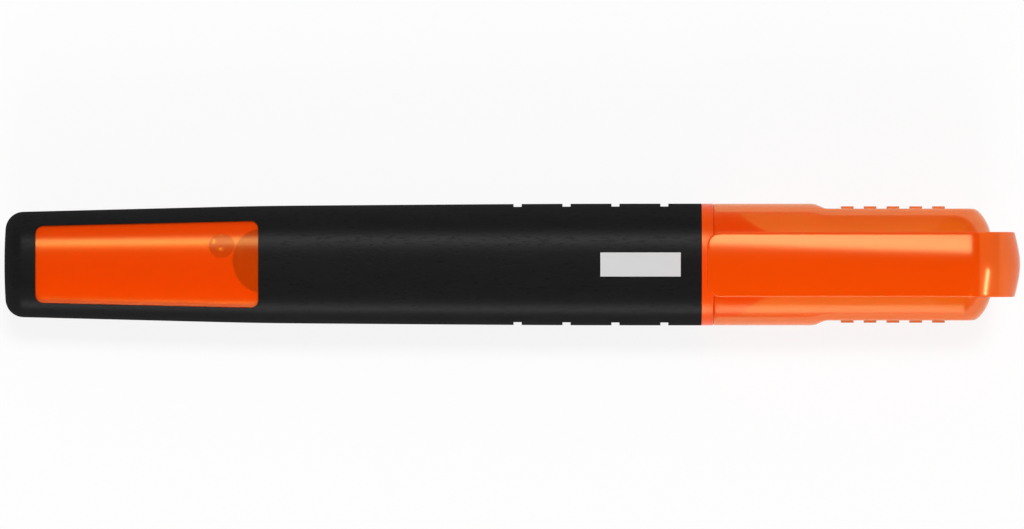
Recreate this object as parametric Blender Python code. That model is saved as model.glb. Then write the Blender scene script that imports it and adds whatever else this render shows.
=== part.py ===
"""Capped liquid-ink highlighter with an oval barrel, two ink windows and a looped pocket clip.

Every piece is drawn in stations measured from the barrel's axis: x runs from the tail to the loop of
the clip, y across the width and z through the thickness, towards the clip. The pen lies on its back,
so that axis stands half a body height above the surface it rests on.
"""

import math
from typing import NamedTuple

import bmesh
import bpy
from mathutils import Matrix, Vector

# Oval outside of the barrel, at its full body, at the waist and at the tail
BODY_WIDTH = 0.01656
BODY_HEIGHT = 0.01263
WAIST_WIDTH = 0.01596
WAIST_HEIGHT = 0.01194
TAIL_WIDTH = 0.01434
TAIL_HEIGHT = 0.01042
SHOULDER_STATION = 0.0755
WAIST_STATION = 0.0346
TAIL_RADIUS = 0.0024
TAIL_CROWN = 0.00015
OVAL_POWER = 2.5

# Soft sleeve, its windows and its grip grooves
SLEEVE_LENGTH = 0.0947
SLEEVE_WALL = 0.0008
WINDOW_START = 0.0043
WINDOW_LENGTH = 0.0303
WINDOW_REAR_WIDTH = 0.0105
WINDOW_FRONT_WIDTH = 0.0119
WINDOW_CORNER = 0.00105
WINDOW_RECESS = 0.0001
GROOVE_COUNT = 4
GROOVE_PITCH = 0.00665
GROOVE_SETBACK = 0.0050
GROOVE_WIDTH = 0.0011
GROOVE_SPAN = 0.0076
GROOVE_DEPTH = 0.00035

# Ink tank, ink and the air ahead of it
TANK_WALL = 0.0008
AIR_SPACE = 0.0127
AIR_POCKET_RADIUS = 0.0044
AIR_POCKET_HEIGHT = 0.0062

# Front section: plug, collar, cap seat, funnel and snout
PLUG_LENGTH = 0.0105
PLUG_WALL = 0.0009
COLLAR_LENGTH = 0.0015
SEAT_LENGTH = 0.0035
SNAP_BEAD = 0.00012
SNAP_BEAD_LENGTH = 0.0008
FUNNEL_LENGTH = 0.0122
FUNNEL_WIDTH_POWER = 2.1
FUNNEL_HEIGHT_POWER = 1.3
SNOUT_LENGTH = 0.0052
SNOUT_ROOT_RADIUS = 0.00355
SNOUT_TIP_RADIUS = 0.00325

# Ink regulator, feed rod and nib
REGULATOR_LENGTH = 0.036
REGULATOR_FLANGE = 0.0020
REGULATOR_CORE_RADIUS = 0.0024
FIN_PITCH = 0.0034
FIN_THICKNESS = 0.0010
CHANNEL_WIDTH = 0.0008
NECK_RADIUS = 0.0026
NECK_SETBACK = 0.0040
FEED_RADIUS = 0.0011
FEED_REACH = 0.0040
NIB_RADIUS = 0.0022
NIB_GRIP = 0.0128
NIB_PROJECTION = 0.0062
NIB_EDGE = 0.0012
NIB_WEDGE_LENGTH = 0.0045
NIB_SLANT = 0.0024
NIB_ROOM = 0.0079

# Cap shell, its side flats and grip ribs, and the sealing inner cap
CAP_WALL = 0.0011
CAP_END_WALL = 0.00175
CAP_END_DEPTH = 0.00435
CAP_END_WIDTH = 0.0044
CAP_END_HEIGHT = 0.0035
CAP_INSIDE_DEPTH = 0.0034
CAP_INSIDE_END_WIDTH = 0.0052
CAP_INSIDE_END_HEIGHT = 0.0040
FLAT_SETBACK = 0.0154
FLAT_RAMP = 0.0016
FLAT_WIDTH = 0.01522
FLAT_WALL = 0.0009
RIB_COUNT = 5
RIB_PITCH = 0.0031
RIB_SETBACK = 0.0028
RIB_LENGTH = 0.0017
RIB_HEIGHT = 0.0038
RIB_PROUD = 0.0003
RIB_CORNER = 0.0004
LINER_WALL = 0.0007
LINER_END_WALL = 0.0010
LINER_BASE_LENGTH = 0.0010
LINER_FLARE_LENGTH = 0.0030

# Pocket clip
CLIP_WIDTH = 0.00885
CLIP_THICKNESS = 0.0027
CLIP_LOOP_THICKNESS = 0.00283
CLIP_CROWN = 0.00063
CLIP_OVERHANG = 0.0009
CLIP_TIP_CORNER = 0.0019
CLIP_TIP_GAP = 0.00108
CLIP_BEND_GAP = 0.00137
CLIP_LOOP_GAP = 0.00085
CLIP_TOP_RADIUS = 0.00713
CLIP_ROOT_RADIUS = 0.00564
CLIP_ROOT_LIFT = 0.00028
CLIP_ROOT_GAP = 0.0003
CLIP_PIVOT_TURN = -70.0
CLIP_BUMP_SETBACK = 0.0066
CLIP_BUMP_RADIUS = 0.00245
CLIP_BUMP_GAP = 0.0002

# Clearance round a fitted piece, seam between end faces, and broken edges
FIT = 0.0003
SEAM = 0.0001
EDGE = 0.00015
LEAST_RADIUS = 0.0002
OVERCUT = 0.002

# Fineness of the facets
OVAL_SIDES = 32
TAIL_STEPS = 4
CORNER_STEPS = 3
FUNNEL_STEPS = 8
DOME_STEPS = 5
FLARE_STEPS = 3
BEND_STEPS = 8
CROWN_STEPS = 6
BUMP_SIDES = 20
SHARP_ANGLE = 35.0

# Stations that follow from the sizes
COLLAR_START = SLEEVE_LENGTH + SEAM
COLLAR_END = COLLAR_START + COLLAR_LENGTH
PLUG_START = COLLAR_START - PLUG_LENGTH
REGULATOR_END = PLUG_START - FIT
REGULATOR_START = REGULATOR_END - REGULATOR_LENGTH
INK_FRONT = REGULATOR_START - AIR_SPACE
CAP_MOUTH = COLLAR_END + SEAM
FUNNEL_START = COLLAR_END + SEAT_LENGTH
SNOUT_START = FUNNEL_START + FUNNEL_LENGTH
SNOUT_END = SNOUT_START + SNOUT_LENGTH
NIB_REAR = SNOUT_END - NIB_GRIP
NIB_TIP = SNOUT_END + NIB_PROJECTION
NECK_END = NIB_REAR - NECK_SETBACK
LINER_INSIDE_END = NIB_TIP + NIB_ROOM
LINER_END = LINER_INSIDE_END + LINER_END_WALL
CAP_INSIDE_END = LINER_END + FIT
CAP_END = CAP_INSIDE_END + CAP_END_WALL
FLAT_START = CAP_MOUTH + FLAT_SETBACK
PEN_LENGTH = CAP_END + CLIP_LOOP_GAP + CLIP_LOOP_THICKNESS
AXIS_HEIGHT = BODY_HEIGHT / 2


class Half(NamedTuple):
    """Half width and half height of an oval."""

    width: float
    height: float

    def drawn_in(self, inset):
        """The same oval with a wall or a clearance of inset taken off all round."""
        return Half(self.width - inset, self.height - inset)


class Carrier(NamedTuple):
    """Empty that a group of pieces hangs on, and its place in pen stations."""

    empty: bpy.types.Object
    station: Vector


BODY_HALF = Half(BODY_WIDTH / 2, BODY_HEIGHT / 2)
CAP_INSIDE = BODY_HALF.drawn_in(CAP_WALL)
CAP_INSIDE_FLAT = Half(FLAT_WIDTH / 2 - FLAT_WALL, CAP_INSIDE.height)
SEAT_HALF = CAP_INSIDE.drawn_in(FIT)
LINER_BORE_RADIUS = SNOUT_ROOT_RADIUS + FIT


def clear_scene():
    """Remove every object of the open scene."""
    for obj in list(bpy.data.objects):
        bpy.data.objects.remove(obj, do_unlink=True)


def link(obj):
    """Put an object into the scene and return it."""
    bpy.context.scene.collection.objects.link(obj)
    return obj


def make_carrier(name, station, under=None):
    """Empty at a pen station, hung under another carrier where one is given."""
    empty = link(bpy.data.objects.new(name, None))
    place = Vector(station)
    if under is None:
        empty.location = place + Vector((-PEN_LENGTH / 2, 0, AXIS_HEIGHT))
    else:
        empty.parent = under.empty
        empty.location = place - under.station
    return Carrier(empty, place)


def make_finish(name, colour, roughness, transmission=0.0):
    """Moulded plastic or fibre, from its sRGB colour as a hex string."""
    channels = [int(colour[k : k + 2], 16) / 255 for k in (1, 3, 5)]
    linear = [c / 12.92 if c <= 0.04045 else ((c + 0.055) / 1.055) ** 2.4 for c in channels]
    material = bpy.data.materials.new(name)
    material.use_nodes = True
    shader = material.node_tree.nodes["Principled BSDF"]
    shader.inputs["Base Color"].default_value = (*linear, 1.0)
    shader.inputs["Roughness"].default_value = roughness
    shader.inputs["Metallic"].default_value = 0.0
    shader.inputs["Transmission Weight"].default_value = transmission
    return material


def make_solid(name, bm, carrier, finish=None):
    """Object from a mesh drawn in pen stations. Without a finish it is a helper that shapes others."""
    bmesh.ops.recalc_face_normals(bm, faces=bm.faces)
    mesh = bpy.data.meshes.new(name)
    bm.to_mesh(mesh)
    bm.free()
    mesh.transform(Matrix.Translation(-carrier.station))
    obj = link(bpy.data.objects.new(name, mesh))
    obj.parent = carrier.empty
    if finish is None:
        obj.hide_render = True
        obj.display_type = "WIRE"
    else:
        mesh.materials.append(finish)
        mesh.shade_smooth()
        mesh.set_sharp_from_angle(angle=math.radians(SHARP_ANGLE))
    return obj


def combine(obj, other, operation):
    """Boolean of one object with another, left live on the first."""
    modifier = obj.modifiers.new(other.name, "BOOLEAN")
    modifier.operation = operation
    modifier.solver = "EXACT"
    modifier.object = other


def oval(station, half, power=OVAL_POWER):
    """Ring of points across the pen, whose flat facets lie square on its four sides."""
    step = 2 * math.pi / OVAL_SIDES
    reach = math.cos(step / 2) ** (2 / power)
    points = []
    for k in range(OVAL_SIDES):
        cosine = math.cos((k + 0.5) * step)
        sine = math.sin((k + 0.5) * step)
        across = math.copysign(abs(cosine) ** (2 / power), cosine) / reach
        up = math.copysign(abs(sine) ** (2 / power), sine) / reach
        points.append(Vector((station, half.width * across, half.height * up)))
    return points


def circle(station, radius):
    """Round ring of points across the pen."""
    return oval(station, Half(radius, radius), 2)


def loft(rings, tube=False):
    """Skin over a row of rings, closed by end faces or, as a tube, from the last ring to the first."""
    bm = bmesh.new()
    loops = [[bm.verts.new(point) for point in ring] for ring in rings]
    pairs = list(zip(loops, loops[1:]))
    if tube:
        pairs.append((loops[-1], loops[0]))
    else:
        bm.faces.new(loops[0])
        bm.faces.new(loops[-1])
    for first, second in pairs:
        for k in range(len(first)):
            bm.faces.new((first[k - 1], first[k], second[k], second[k - 1]))
    return bm


def prism(outline, run):
    """Solid between a flat outline and its copy moved along run."""
    bm = bmesh.new()
    base = bm.faces.new([bm.verts.new(point) for point in outline])
    grown = bmesh.ops.extrude_face_region(bm, geom=[base], use_keep_orig=True)["geom"]
    moved = [item for item in grown if isinstance(item, bmesh.types.BMVert)]
    bmesh.ops.translate(bm, verts=moved, vec=run)
    return bm


def round_edges(bm, along, radius):
    """Round every edge of a prism that runs along one axis, given by its number."""
    edges = []
    for edge in bm.edges:
        run = (edge.verts[1].co - edge.verts[0].co).normalized()
        if abs(run[along]) > math.cos(math.radians(1)):
            edges.append(edge)
    bmesh.ops.bevel(
        bm, geom=edges, offset=radius, affect="EDGES", segments=CORNER_STEPS, profile=0.5
    )


def add_box(bm, low, high):
    """Box between two corners, added to a mesh."""
    size = Vector(high) - Vector(low)
    made = bmesh.ops.create_cube(bm, size=1.0)["verts"]
    bmesh.ops.scale(bm, verts=made, vec=size)
    bmesh.ops.translate(bm, verts=made, vec=Vector(low) + size / 2)


def barrel_half(station):
    """Half size of the pen's outside at a station: a steep taper to the waist and a gentle one to the body."""
    knots = (
        (TAIL_RADIUS, Half(TAIL_WIDTH / 2, TAIL_HEIGHT / 2)),
        (WAIST_STATION, Half(WAIST_WIDTH / 2, WAIST_HEIGHT / 2)),
        (SHOULDER_STATION, BODY_HALF),
    )
    for (rear, small), (front, large) in zip(knots, knots[1:]):
        if station <= front:
            share = max(0.0, (station - rear) / (front - rear))
            return Half(*(a + (b - a) * share for a, b in zip(small, large)))
    return BODY_HALF


def barrel_rings(inset, front):
    """Rings of the barrel's form drawn in by inset, from its crowned and rounded tail to front."""
    radius = max(TAIL_RADIUS - inset, LEAST_RADIUS)
    end = barrel_half(0.0).drawn_in(inset + radius)
    rings = [oval(inset, Half(end.width / 2, end.height / 2))]
    for step in range(TAIL_STEPS + 1):
        turn = math.pi / 2 * step / TAIL_STEPS
        station = inset + TAIL_CROWN + radius * (1 - math.cos(turn))
        pull = inset + radius * (1 - math.sin(turn))
        rings.append(oval(station, barrel_half(station).drawn_in(pull)))
    for knot in (WAIST_STATION, SHOULDER_STATION):
        if rings[-1][0].x < knot < front:
            rings.append(oval(knot, barrel_half(knot).drawn_in(inset)))
    rings.append(oval(front, barrel_half(front).drawn_in(inset)))
    return rings


def window_prism(inset):
    """Upright prism through both ink windows, drawn in by inset."""
    rear = WINDOW_START + inset
    front = WINDOW_START + WINDOW_LENGTH - inset
    rear_half = WINDOW_REAR_WIDTH / 2 - inset
    front_half = WINDOW_FRONT_WIDTH / 2 - inset
    corners = ((rear, -rear_half), (front, -front_half), (front, front_half), (rear, rear_half))
    bm = prism([(x, y, -BODY_HEIGHT) for x, y in corners], (0, 0, 2 * BODY_HEIGHT))
    round_edges(bm, 2, max(WINDOW_CORNER - inset, LEAST_RADIUS))
    return bm


def make_sleeve(pen, finish):
    """Soft sleeve with a closed tail, a window on the front and the back, and grooves on both sides."""
    outside = barrel_rings(0.0, SLEEVE_LENGTH)
    inside = barrel_rings(SLEEVE_WALL, SLEEVE_LENGTH)
    sleeve = make_solid("barrel_sleeve", loft(outside + inside[::-1]), pen, finish)
    combine(sleeve, make_solid("window_cut", window_prism(0.0), pen), "DIFFERENCE")
    slots = bmesh.new()
    for k in range(GROOVE_COUNT):
        station = SLEEVE_LENGTH - GROOVE_SETBACK - k * GROOVE_PITCH
        low = (station - GROOVE_WIDTH / 2, -BODY_WIDTH, -GROOVE_SPAN / 2)
        high = (station + GROOVE_WIDTH / 2, BODY_WIDTH, GROOVE_SPAN / 2)
        add_box(slots, low, high)
    round_edges(slots, 1, GROOVE_WIDTH / 2 - EDGE)
    groove_cut = make_solid("groove_cut", slots, pen)
    floor = loft(barrel_rings(GROOVE_DEPTH, SLEEVE_LENGTH))
    combine(groove_cut, make_solid("groove_floor", floor, pen), "DIFFERENCE")
    combine(sleeve, groove_cut, "DIFFERENCE")


def tank_form(name, inset, front, pen, finish=None):
    """Body that fills the sleeve and rises into its windows, drawn in by inset."""
    body = make_solid(name, loft(barrel_rings(SLEEVE_WALL + FIT + inset, front)), pen, finish)
    lands = make_solid(name + "_lands", window_prism(FIT + inset), pen)
    skin = make_solid(name + "_skin", loft(barrel_rings(WINDOW_RECESS + inset, front)), pen)
    combine(lands, skin, "INTERSECT")
    combine(body, lands, "UNION")
    return body


def make_tank(pen, finish):
    """Clear ink tank, open at the front, of an even wall that follows its window lands."""
    tank = tank_form("ink_tank", 0.0, SLEEVE_LENGTH, pen, finish)
    cavity = tank_form("tank_cavity", TANK_WALL, SLEEVE_LENGTH + OVERCUT, pen)
    combine(tank, cavity, "DIFFERENCE")


def make_ink(pen, finish):
    """Charge of ink in the tail of the tank, hollowed in front by the air that follows it."""
    ink = tank_form("ink_charge", TANK_WALL + FIT, INK_FRONT, pen, finish)
    pocket = bmesh.new()
    bmesh.ops.create_uvsphere(
        pocket, u_segments=BUMP_SIDES, v_segments=BUMP_SIDES // 2, radius=AIR_POCKET_RADIUS
    )
    flatness = AIR_POCKET_HEIGHT / (2 * AIR_POCKET_RADIUS)
    bmesh.ops.scale(pocket, verts=pocket.verts, vec=(1, 1, flatness))
    bmesh.ops.translate(pocket, verts=pocket.verts, vec=(INK_FRONT, 0, 0))
    combine(ink, make_solid("air_pocket", pocket, pen), "DIFFERENCE")


def tank_inside(station):
    """Half size of the tank's bore at a station clear of the windows."""
    return barrel_half(station).drawn_in(SLEEVE_WALL + FIT + TANK_WALL)


def make_regulator(pen, finish):
    """Comb that holds back spare ink: a sealing flange, a row of fins and a neck, on one bored core."""
    rim = tank_inside(REGULATOR_START).drawn_in(FIT)
    core = REGULATOR_CORE_RADIUS
    flange_end = REGULATOR_START + REGULATOR_FLANGE
    rings = [oval(REGULATOR_START, rim), oval(flange_end, rim)]
    for k in range(int((REGULATOR_LENGTH - REGULATOR_FLANGE) / FIN_PITCH)):
        front = flange_end + (k + 1) * FIN_PITCH
        rear = front - FIN_THICKNESS
        rim = tank_inside(rear).drawn_in(FIT)
        rings += [circle(rings[-1][0].x, core), circle(rear, core), oval(rear, rim), oval(front, rim)]
    rings += [circle(rings[-1][0].x, NECK_RADIUS), circle(NECK_END, NECK_RADIUS)]
    bore = FEED_RADIUS + FIT
    rings += [circle(NECK_END, bore), circle(REGULATOR_START, bore)]
    regulator = make_solid("ink_regulator", loft(rings, tube=True), pen, finish)
    channels = bmesh.new()
    for side in (-1, 1):
        depth = sorted((side * core, side * BODY_HEIGHT))
        low = (flange_end, -CHANNEL_WIDTH / 2, depth[0])
        high = (REGULATOR_END + OVERCUT, CHANNEL_WIDTH / 2, depth[1])
        add_box(channels, low, high)
    combine(regulator, make_solid("channel_cut", channels, pen), "DIFFERENCE")


def make_feed_rod(pen, finish):
    """Fibre rod that carries ink from the tank through the regulator to the nib."""
    rings = [circle(x, FEED_RADIUS) for x in (REGULATOR_START - FEED_REACH, NIB_REAR - FIT)]
    make_solid("feed_rod", loft(rings), pen, finish)


def funnel_ring(share):
    """Ring of the funnel between the oval seat, at share 0, and the round snout, at share 1."""
    left = 1 - share
    width = SNOUT_ROOT_RADIUS + (SEAT_HALF.width - SNOUT_ROOT_RADIUS) * left**FUNNEL_WIDTH_POWER
    height = SNOUT_ROOT_RADIUS + (SEAT_HALF.height - SNOUT_ROOT_RADIUS) * left**FUNNEL_HEIGHT_POWER
    power = 2 + (OVAL_POWER - 2) * left
    return oval(FUNNEL_START + FUNNEL_LENGTH * share, Half(width, height), power)


def make_section(pen, finish):
    """Front section: plug in the tank, collar against the sleeve, cap seat, funnel and bored snout."""
    plug = tank_inside(PLUG_START).drawn_in(FIT)
    skirt = plug.drawn_in(PLUG_WALL)
    bead = (COLLAR_END + FUNNEL_START) / 2
    nib_bore = NIB_RADIUS + FIT
    neck_bore = NECK_RADIUS + FIT
    shoulder = NECK_END + FIT
    rings = [oval(PLUG_START, plug), oval(COLLAR_START, plug)]
    rings += [oval(COLLAR_START, BODY_HALF), oval(COLLAR_END - EDGE, BODY_HALF)]
    rings += [oval(COLLAR_END, BODY_HALF.drawn_in(EDGE)), oval(COLLAR_END, SEAT_HALF)]
    rings += [oval(bead - SNAP_BEAD_LENGTH / 2, SEAT_HALF), oval(bead, SEAT_HALF.drawn_in(-SNAP_BEAD))]
    rings += [oval(bead + SNAP_BEAD_LENGTH / 2, SEAT_HALF)]
    rings += [funnel_ring(k / FUNNEL_STEPS) for k in range(FUNNEL_STEPS + 1)]
    rings += [circle(SNOUT_END - EDGE, SNOUT_TIP_RADIUS), circle(SNOUT_END, SNOUT_TIP_RADIUS - EDGE)]
    rings += [circle(SNOUT_END, nib_bore), circle(shoulder, nib_bore)]
    rings += [circle(shoulder, neck_bore), circle(COLLAR_START, neck_bore)]
    rings += [oval(COLLAR_START, skirt), oval(PLUG_START, skirt)]
    make_solid("front_section", loft(rings, tube=True), pen, finish)


def trim(bm, point, normal):
    """Cut a closed mesh by a plane and close it again, keeping what lies behind the normal."""
    geom = list(bm.verts) + list(bm.edges) + list(bm.faces)
    cut = bmesh.ops.bisect_plane(bm, geom=geom, plane_co=point, plane_no=normal, clear_outer=True)
    edges = [item for item in cut["geom_cut"] if isinstance(item, bmesh.types.BMEdge)]
    bmesh.ops.edgeloop_fill(bm, edges=edges)


def make_nib(pen, finish):
    """Fibre nib: a round rod cut to a wedge and slanted across its width."""
    bm = loft([circle(NIB_REAR, NIB_RADIUS), circle(NIB_TIP, NIB_RADIUS)])
    rise = NIB_RADIUS - NIB_EDGE / 2
    for side in (-1, 1):
        trim(bm, (NIB_TIP, 0, side * NIB_EDGE / 2), (rise, 0, side * NIB_WEDGE_LENGTH))
    trim(bm, (NIB_TIP, -NIB_RADIUS, 0), (2 * NIB_RADIUS, NIB_SLANT, 0))
    make_solid("nib", bm, pen, finish)


def dome_rings(end, depth, end_half, half):
    """Rings of a rounded end, from its flat tip back to the full oval."""
    rings = []
    for step in range(DOME_STEPS + 1):
        turn = math.pi / 2 * (1 - step / DOME_STEPS)
        spread = math.cos(turn)
        width = end_half.width + (half.width - end_half.width) * spread
        height = end_half.height + (half.height - end_half.height) * spread
        rings.append(oval(end - depth * (1 - math.sin(turn)), Half(width, height)))
    return rings


def cap_outside_rings(grow=0.0):
    """Rings of the cap's rounded end, stood off by grow, back to the full oval."""
    end_half = Half(CAP_END_WIDTH / 2, CAP_END_HEIGHT / 2).drawn_in(-grow)
    return dome_rings(CAP_END + grow, CAP_END_DEPTH, end_half, BODY_HALF.drawn_in(-grow))


def cap_inside_rings(inset=0.0):
    """Rings of the cap's rounded bottom, drawn in by inset, back to the bore between the flats."""
    end_half = Half(CAP_INSIDE_END_WIDTH / 2, CAP_INSIDE_END_HEIGHT / 2).drawn_in(inset)
    return dome_rings(
        CAP_INSIDE_END - inset, CAP_INSIDE_DEPTH, end_half, CAP_INSIDE_FLAT.drawn_in(inset)
    )


def make_cap(cap, finish):
    """Clear cap shell with a rounded end, a flat ramped in on each side, and ribs on the flats."""
    ramp_start = FLAT_START - FLAT_RAMP
    mouth = [oval(CAP_MOUTH + EDGE, BODY_HALF), oval(CAP_MOUTH, BODY_HALF.drawn_in(EDGE))]
    bore = [oval(CAP_MOUTH, CAP_INSIDE), oval(ramp_start, CAP_INSIDE), oval(FLAT_START, CAP_INSIDE_FLAT)]
    rings = cap_outside_rings() + mouth + bore + cap_inside_rings()[::-1]
    shell = make_solid("cap_shell", loft(rings), cap, finish)
    flat = FLAT_WIDTH / 2
    ramp_rise = BODY_HALF.width - flat
    for side, word in ((-1, "right"), (1, "left")):
        outline = (
            (FLAT_START, flat),
            (CAP_END + OVERCUT, flat),
            (CAP_END + OVERCUT, flat + 2 * ramp_rise),
            (FLAT_START - 2 * FLAT_RAMP, flat + 2 * ramp_rise),
        )
        points = [(x, side * y, -BODY_HEIGHT) for x, y in outline]
        cutter = make_solid("flat_cut_" + word, prism(points, (0, 0, 2 * BODY_HEIGHT)), cap)
        combine(shell, cutter, "DIFFERENCE")
        ribs = bmesh.new()
        for k in range(RIB_COUNT):
            station = FLAT_START + RIB_SETBACK + k * RIB_PITCH
            depth = sorted((side * (flat - FLAT_WALL / 2), side * (flat + RIB_PROUD)))
            low = (station - RIB_LENGTH / 2, depth[0], -RIB_HEIGHT / 2)
            high = (station + RIB_LENGTH / 2, depth[1], RIB_HEIGHT / 2)
            add_box(ribs, low, high)
        round_edges(ribs, 1, RIB_CORNER)
        combine(shell, make_solid("grip_ribs_" + word, ribs, cap), "UNION")


def make_inner_cap(cap, finish):
    """Sealing liner: a base that fills the cap's end, flaring down to a sleeve round the snout."""
    tube = LINER_BORE_RADIUS + LINER_WALL
    base = cap_inside_rings(FIT)
    base_half = CAP_INSIDE_FLAT.drawn_in(FIT)
    flare_end = base[-1][0].x - LINER_BASE_LENGTH
    rings = list(base)
    for k in range(FLARE_STEPS + 1):
        turn = math.pi / 2 * k / FLARE_STEPS
        left = 1 - math.sin(turn)
        half = Half(*(tube + (side - tube) * left for side in base_half))
        power = 2 + (OVAL_POWER - 2) * left
        rings.append(oval(flare_end - LINER_FLARE_LENGTH * (1 - math.cos(turn)), half, power))
    rings += [circle(SNOUT_START, tube), circle(SNOUT_START, LINER_BORE_RADIUS)]
    rings += [circle(LINER_INSIDE_END, LINER_BORE_RADIUS)]
    make_solid("inner_cap", loft(rings), cap, finish)


class ClipCut(NamedTuple):
    """Cross-section of the clip: its outer and inner points in the xz plane, and its half width."""

    outer: Vector
    inner: Vector
    half_width: float


def clip_root_centre():
    """Centre of the bend at the clip's root, in the xz plane."""
    return Vector((PEN_LENGTH - CLIP_ROOT_RADIUS, 0, CLIP_ROOT_LIFT - BODY_HALF.height + CLIP_ROOT_RADIUS))


def clip_arm_cuts(bend_start):
    """Cross-sections of the straight arm, from its rounded free end to the loop."""
    start = CAP_MOUTH - CLIP_OVERHANG
    cuts = []
    for k in range(CORNER_STEPS + 1):
        turn = math.pi / 2 * k / CORNER_STEPS
        along = CLIP_TIP_CORNER * (1 - math.cos(turn))
        share = along / (bend_start - start)
        low = BODY_HALF.height + CLIP_TIP_GAP + (CLIP_BEND_GAP - CLIP_TIP_GAP) * share
        half = CLIP_WIDTH / 2 - CLIP_TIP_CORNER * (1 - math.sin(turn))
        inner = Vector((start + along, 0, low))
        cuts.append(ClipCut(inner + Vector((0, 0, CLIP_THICKNESS)), inner, half))
    return cuts


def bend_cuts(centre, radius, thick, turns):
    """Cross-sections round a bend, between two angles, with the wall changing from one size to another."""
    cuts = []
    for k in range(BEND_STEPS + 1):
        share = k / BEND_STEPS
        turn = math.radians(turns[0] + (turns[1] - turns[0]) * share)
        way = Vector((math.cos(turn), 0, math.sin(turn)))
        wall = thick[0] + (thick[1] - thick[0]) * share
        cuts.append(ClipCut(centre + way * radius, centre + way * (radius - wall), CLIP_WIDTH / 2))
    return cuts


def clip_ring(cut):
    """Ring of the clip's cross-section: a flat inner face and a crowned outer one."""
    way = (cut.outer - cut.inner).normalized()
    side = Vector((0, cut.half_width, 0))
    points = [cut.inner - side, cut.inner + side]
    for k in range(CROWN_STEPS + 1):
        share = 1 - 2 * k / CROWN_STEPS
        across = cut.half_width * share
        drop = CLIP_CROWN * (across / (CLIP_WIDTH / 2)) ** 2
        points.append(cut.outer - way * drop + Vector((0, across, 0)))
    return points


def make_clip(clip, finish):
    """Pocket clip: a crowned arm over the cap, a loop round the cap's end, and a root on its back edge."""
    top = BODY_HALF.height + CLIP_BEND_GAP + CLIP_THICKNESS
    top_centre = Vector((PEN_LENGTH - CLIP_TOP_RADIUS, 0, top - CLIP_TOP_RADIUS))
    cuts = clip_arm_cuts(top_centre.x)
    cuts += bend_cuts(top_centre, CLIP_TOP_RADIUS, (CLIP_THICKNESS, CLIP_LOOP_THICKNESS), (90, 0))
    loop_wall = (CLIP_LOOP_THICKNESS, CLIP_LOOP_THICKNESS)
    cuts += bend_cuts(clip_root_centre(), CLIP_ROOT_RADIUS, loop_wall, (0, -90))
    piece = make_solid("clip", loft([clip_ring(cut) for cut in cuts]), clip, finish)

    station = CAP_MOUTH - CLIP_OVERHANG + CLIP_BUMP_SETBACK
    centre = Vector((station, 0, BODY_HALF.height + CLIP_BUMP_GAP + CLIP_BUMP_RADIUS))
    bump = bmesh.new()
    bmesh.ops.create_uvsphere(
        bump, u_segments=BUMP_SIDES, v_segments=BUMP_SIDES // 2, radius=CLIP_BUMP_RADIUS
    )
    bmesh.ops.translate(bump, verts=bump.verts, vec=centre)
    middle = BODY_HALF.height + CLIP_TIP_GAP + CLIP_THICKNESS / 2
    trim(bump, (station, 0, middle), (0, 0, 1))
    combine(piece, make_solid("clip_bump", bump, clip), "UNION")

    body = cap_outside_rings(CLIP_ROOT_GAP) + [oval(CAP_MOUTH, BODY_HALF.drawn_in(-CLIP_ROOT_GAP))]
    combine(piece, make_solid("root_relief", loft(body), clip), "DIFFERENCE")


def clip_pivot():
    """Point in the middle of the clip's root that its flexing turns about."""
    turn = math.radians(CLIP_PIVOT_TURN)
    middle = CLIP_ROOT_RADIUS - CLIP_LOOP_THICKNESS / 2
    return clip_root_centre() + Vector((math.cos(turn), 0, math.sin(turn))) * middle


def main():
    """Build the pen piece by piece, from the barrel out to the clip."""
    clear_scene()
    soft_black = make_finish("soft_touch_black", "#1c1c1d", 0.62)
    clear_orange = make_finish("clear_orange_tank", "#f05a14", 0.12, 0.8)
    ink_orange = make_finish("fluorescent_ink", "#ea4b00", 0.10)
    solid_orange = make_finish("moulded_orange", "#e64a08", 0.30)
    cap_orange = make_finish("clear_orange_cap", "#f26a2a", 0.10, 0.8)
    natural = make_finish("natural_polypropylene", "#d9d6cc", 0.45)
    fibre = make_finish("inked_fibre", "#f0681e", 0.90)

    pen = make_carrier("pen_axis", (0, 0, 0))
    cap = make_carrier("cap_axis", (CAP_MOUTH, 0, 0), pen)
    clip = make_carrier("clip_root", clip_pivot(), cap)

    make_sleeve(pen, soft_black)
    make_tank(pen, clear_orange)
    make_ink(pen, ink_orange)
    make_regulator(pen, natural)
    make_feed_rod(pen, fibre)
    make_section(pen, solid_orange)
    make_nib(pen, fibre)
    make_cap(cap, cap_orange)
    make_inner_cap(cap, cap_orange)
    make_clip(clip, cap_orange)


main()
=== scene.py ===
"""Looks of a capped liquid-ink highlighter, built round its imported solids.

Pieces are drawn in stations: x runs along the pen from its tail, y across its width and z through its
thickness, towards the clip, with the axis at y = z = 0. Sizes are in metres unless a name says otherwise.
"""

import logging
import math
from dataclasses import dataclass, replace
from enum import Enum

import bmesh
import bpy
from bmesh.types import BMEdge, BMesh, BMFace, BMVert
from bpy.types import ID, Material, Node, NodeSocket, NodeTree, Object
from mathutils import Matrix, Vector


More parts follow.
